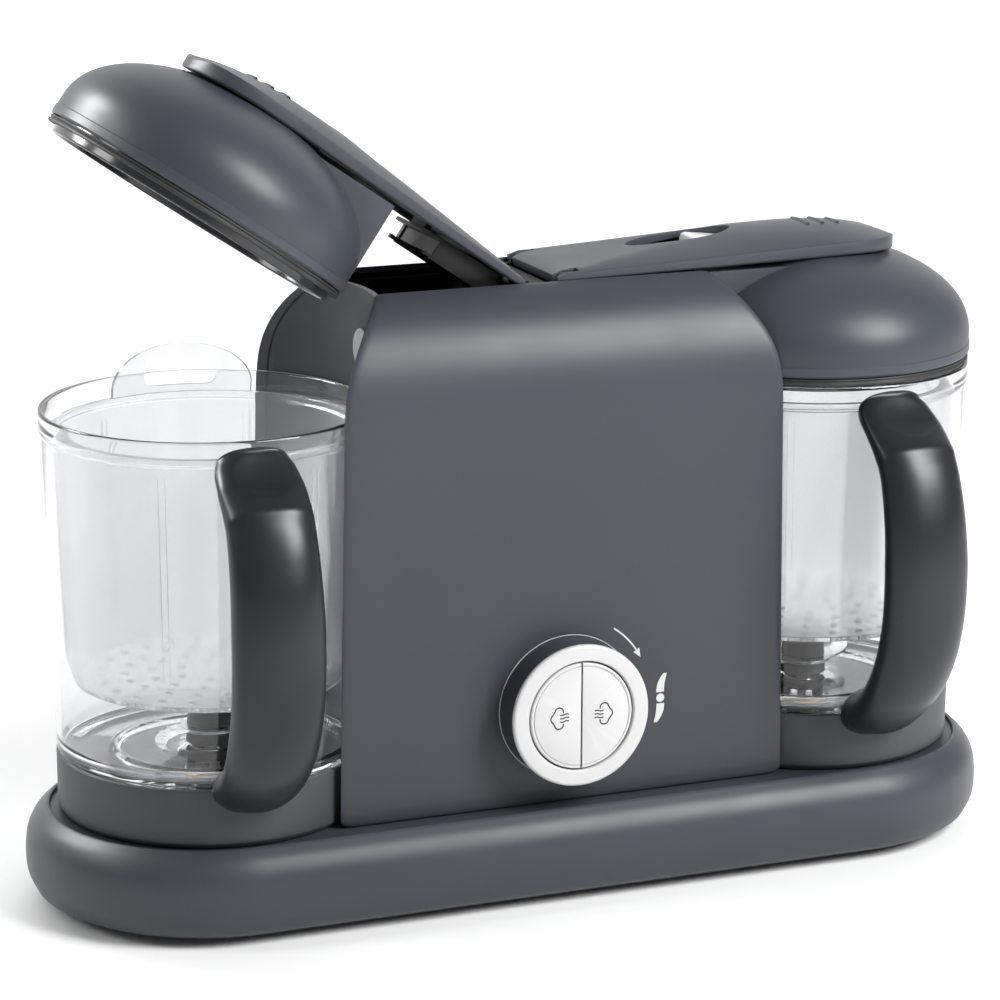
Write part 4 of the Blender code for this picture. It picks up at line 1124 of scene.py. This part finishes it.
def arm_section(side, x, inset=0.0, low=None, across=40):
    """The arm across its length at x. With a low height it is a hollow that starts there."""
    half = arm_half_width(x) - inset
    bottom = arm_bottom(x) if low is None else low
    points = []
    if low is None:
        edge = min(ARM_EDGE, 0.3 * half)
        for i in range(7):
            angle = math.pi / 2 * i / 6
            points.append((half - edge * (1 - math.sin(angle)),
                           bottom + edge * (1 - math.cos(angle))))
        points = [(-y, z) for y, z in reversed(points)] + points
    else:
        points = [(-half, bottom), (half, bottom)]
    points = [(side * x, y, z) for y, z in points]
    for i in range(across + 1):
        y = half * (1 - 2 * i / across)
        points.append((side * x, y, arm_top(x, y) - inset))
    return points


def oval(side, z):
    return [(side * (OVAL_X + OVAL_HALF_LENGTH * math.cos(math.tau * i / 64)),
             OVAL_HALF_WIDTH * math.sin(math.tau * i / 64), z) for i in range(64)]


def make_arm(side, name, move):
    stations = [ARM_INNER_X + (ARM_ROUND_X - ARM_INNER_X) * i / 30 for i in range(30)]
    stations += [ARM_TIP_X - (ARM_TIP_X - ARM_ROUND_X) * (1 - i / 24) ** 1.8 for i in range(25)]
    arm = loft(f"arm_{name}", [arm_section(side, x) for x in stations])
    hollow = [arm_section(side, x, 2.6, 230, 12) for x in (29, 41, 81, 100, 120, 136, 149)]
    cut(arm, loft(f"arm_hollow_{name}", hollow))
    cut(arm, loft(f"arm_oval_{name}", [oval(side, 228), oval(side, 252)]))
    join(arm, bar(f"knuckle_{name}", side, (ARM_INNER_X + 0.4, 14), (-21, 21), (232.4, 235.6)))
    cut(arm, rod(f"arm_bore_{name}", PIN_BORE_RADIUS, (side * HINGE_X, -24.2, HINGE_Z), 48.4,
                 "BACK", 24))
    for end in ENDS:
        y, half = end * EAR_Y, EAR_HALF_THICKNESS + 0.5
        cut(arm, bar(f"ear_slot_{name}_{end}", side, (2, 15.3), (y - half, y + half), (228, 245)))
    finish(edged(arm, 0.35, 2, 42), f"lid_{name}", "shell_plastic", [f"arm_cover_{name}"], move, 30)
    tray = []
    for i in range(23):
        x = OVAL_X + OVAL_HALF_LENGTH * (i / 11 - 1)
        rise = TRAY_Z + 1.1 * max(0.0, (OVAL_X - x) / OVAL_HALF_LENGTH) ** 2
        tray.append([(side * x, y, z) for y, z in ((-9, rise - 0.15), (9, rise - 0.15),
                                                   (9, rise + 0.5), (4, rise), (-4, rise),
                                                   (-9, rise + 0.5))])
    finish(loft(f"arm_tray_{name}", tray), f"lid_{name}", "shell_plastic", (), move)
    for i in range(3):
        x = 120 + 7 * i
        half = 7 - i
        ridge = [(side * x, half * (k / 12 - 1), arm_top(x, half * (k / 12 - 1)) - 0.2)
                 for k in range(25)]
        finish(tube(f"grip_rib_{name}_{i}", ridge, 1.0), f"lid_{name}", "shell_plastic", (), move)


def make_frame(side, name, move):
    """The black ribbed frame under the arm, with a bed for the slider."""
    def beam(part, x0, x1, half, z0, z1, y0=0.0):
        return bar(f"{part}_{name}", side, (x0, x1), (y0 - half, y0 + half), (z0, z1))

    carrier = beam("carrier", 16, 47.5, 19.8, 231.6, 233.1)
    for end in ENDS:
        join(carrier, beam(f"rail_{end}", 16, 43.5, 1.2, 224, 232.5, end * 18.8))
        join(carrier, beam(f"hook_{end}", 42, 46.5, 1.0, 224.4, 226.0, end * 18.8))
    for number, x in enumerate((24, 33, 41)):
        join(carrier, beam(f"rib_{number}", x, x + 1.6, 18.2, 226, 232.4))
    join(carrier, beam("long_rib", 18, 42, 0.8, 227.5, 232.4))
    join(carrier, beam("riser", 44.2, 47, 7, 232.4, 237.6))
    join(carrier, beam("bed", 44.2, 92, 10.5, 236.8, 238.2))
    finish(edged(carrier, 0.25), f"lid_{name}", "black_plastic", [f"arm_frame_{name}"], move)

    outline = ((69.6, 239.5), (70.6, 243.2), (72.4, 243.8), (75, 243.4), (81, 242.8), (86.8, 242.0),
               (86.8, 239.5))
    pad = loft(f"slider_{name}", [[(side * x, y, z) for x, z in outline] for y in (-5.4, 5.4)])
    finish(edged(pad, 0.5, 3), f"release_{name}", "grey_plastic", [f"release_slider_{name}"], move,
           look="white_plastic")


# ======== stage
def make_camera():
    """A long lens, to the left of the front and a little above."""
    camera = bpy.data.objects.new("camera", bpy.data.cameras.new("camera"))
    bpy.context.scene.collection.objects.link(camera)
    camera.data.sensor_width = SENSOR
    camera.data.lens = LENS
    camera.data.clip_end = 50
    turn = (Matrix.Rotation(math.radians(-YAW), 4, "Z")
            @ Matrix.Rotation(math.radians(90 - PITCH), 4, "X")
            @ Matrix.Rotation(math.radians(ROLL), 4, "Z"))
    camera.matrix_world = PLACE @ Matrix.Translation(CAMERA_SPOT_M) @ turn
    bpy.context.scene.camera = camera


def make_sweep():
    """Pale paper that runs from the floor up the back with no corner, and glows far away."""
    shape = bmesh.new()
    outline = [(-6, 0), (3, 0)] + [(3 + 2 * math.sin(math.pi / 2 * i / 12),
                                    2 - 2 * math.cos(math.pi / 2 * i / 12)) for i in range(1, 13)]
    outline.append((5, 9))
    skin(shape, [[shape.verts.new((x, y, z)) for x in (-9, 9)] for y, z in outline])
    sweep = mesh_object("sweep", shape)
    for polygon in sweep.data.polygons:
        polygon.use_smooth = True
    tree = Tree("pale_paper")
    shade = tree.blend(tree.spread(tree.noise(3), 0, 1), (0.90, 0.90, 0.90), (0.92, 0.92, 0.92))
    distance = tree.node("VectorMath", {0: tree.where}, "Value", "LENGTH")
    glow = tree.spread(distance, 0.0, GLOW, GLOW_START_M, GLOW_END_M)
    tree.feed({"Base Color": shade, "Roughness": 0.6, "Specular IOR Level": 0.1,
               "Emission Color": (1, 1, 1, 1), "Emission Strength": glow})
    sweep.data.materials.append(tree.material)


def make_light():
    """A white world that lights less than it shows, and the lamps.

    Some lamps only light, or are only seen in gloss, as a studio's flags would have it.
    """
    world = bpy.context.scene.world or bpy.data.worlds.new("world")
    bpy.context.scene.world = world
    world.use_nodes = True
    background = world.node_tree.nodes["Background"]
    background.inputs["Color"].default_value = (1, 1, 1, 1)
    rays = world.node_tree.nodes.new("ShaderNodeLightPath")
    seen = world.node_tree.nodes.new("ShaderNodeMapRange")
    seen.inputs["To Min"].default_value = WORLD_LIGHT
    seen.inputs["To Max"].default_value = WORLD_SEEN
    world.node_tree.links.new(rays.outputs["Is Camera Ray"], seen.inputs["Value"])
    world.node_tree.links.new(seen.outputs["Result"], background.inputs["Strength"])
    bpy.context.scene.view_settings.view_transform = "Standard"
    middle = Vector((0, SET_BACK * MM, 0.15))
    for name, toward, away, width, height, power, lights, shines in LAMPS:
        lamp = bpy.data.lights.new(name, "AREA")
        lamp.shape = "RECTANGLE"
        lamp.size = width
        lamp.size_y = height
        lamp.energy = power
        holder = bpy.data.objects.new(name, lamp)
        bpy.context.scene.collection.objects.link(holder)
        holder.location = middle + Vector(toward).normalized() * away
        holder.rotation_euler = (-Vector(toward)).to_track_quat("-Z", "Y").to_euler()
        holder.visible_diffuse = lights
        holder.visible_glossy = shines


# ======== all of it
looks = make_looks()
make_camera()
make_sweep()
make_light()
make_base()
make_block()
make_knob()
make_divider()
make_icons()
hinge = Matrix.Translation((-HINGE_X * MM, 0, HINGE_Z * MM))
opened = hinge @ Matrix.Rotation(OPENED, 4, "Y") @ hinge.inverted()
for side, name in SIDES.items():
    make_button(side, name)
    make_bowl(side, name)
    make_handle(side, name)
    make_blades(side, name)
    make_basket(side, name)
    move = opened if side < 0 else IDENTITY
    make_dome(side, name, move)
    make_liner(side, name, move)
    make_arm(side, name, move)
    make_frame(side, name, move)

slot_of = {row["node"]: row["material_slot"] for row in frame["record"]["subparts"]}
for name, node in frame["nodes"].items():
    if not node.hide_render:
        node.data.materials.clear()
        node.data.materials.append(looks[slot_of[name]])
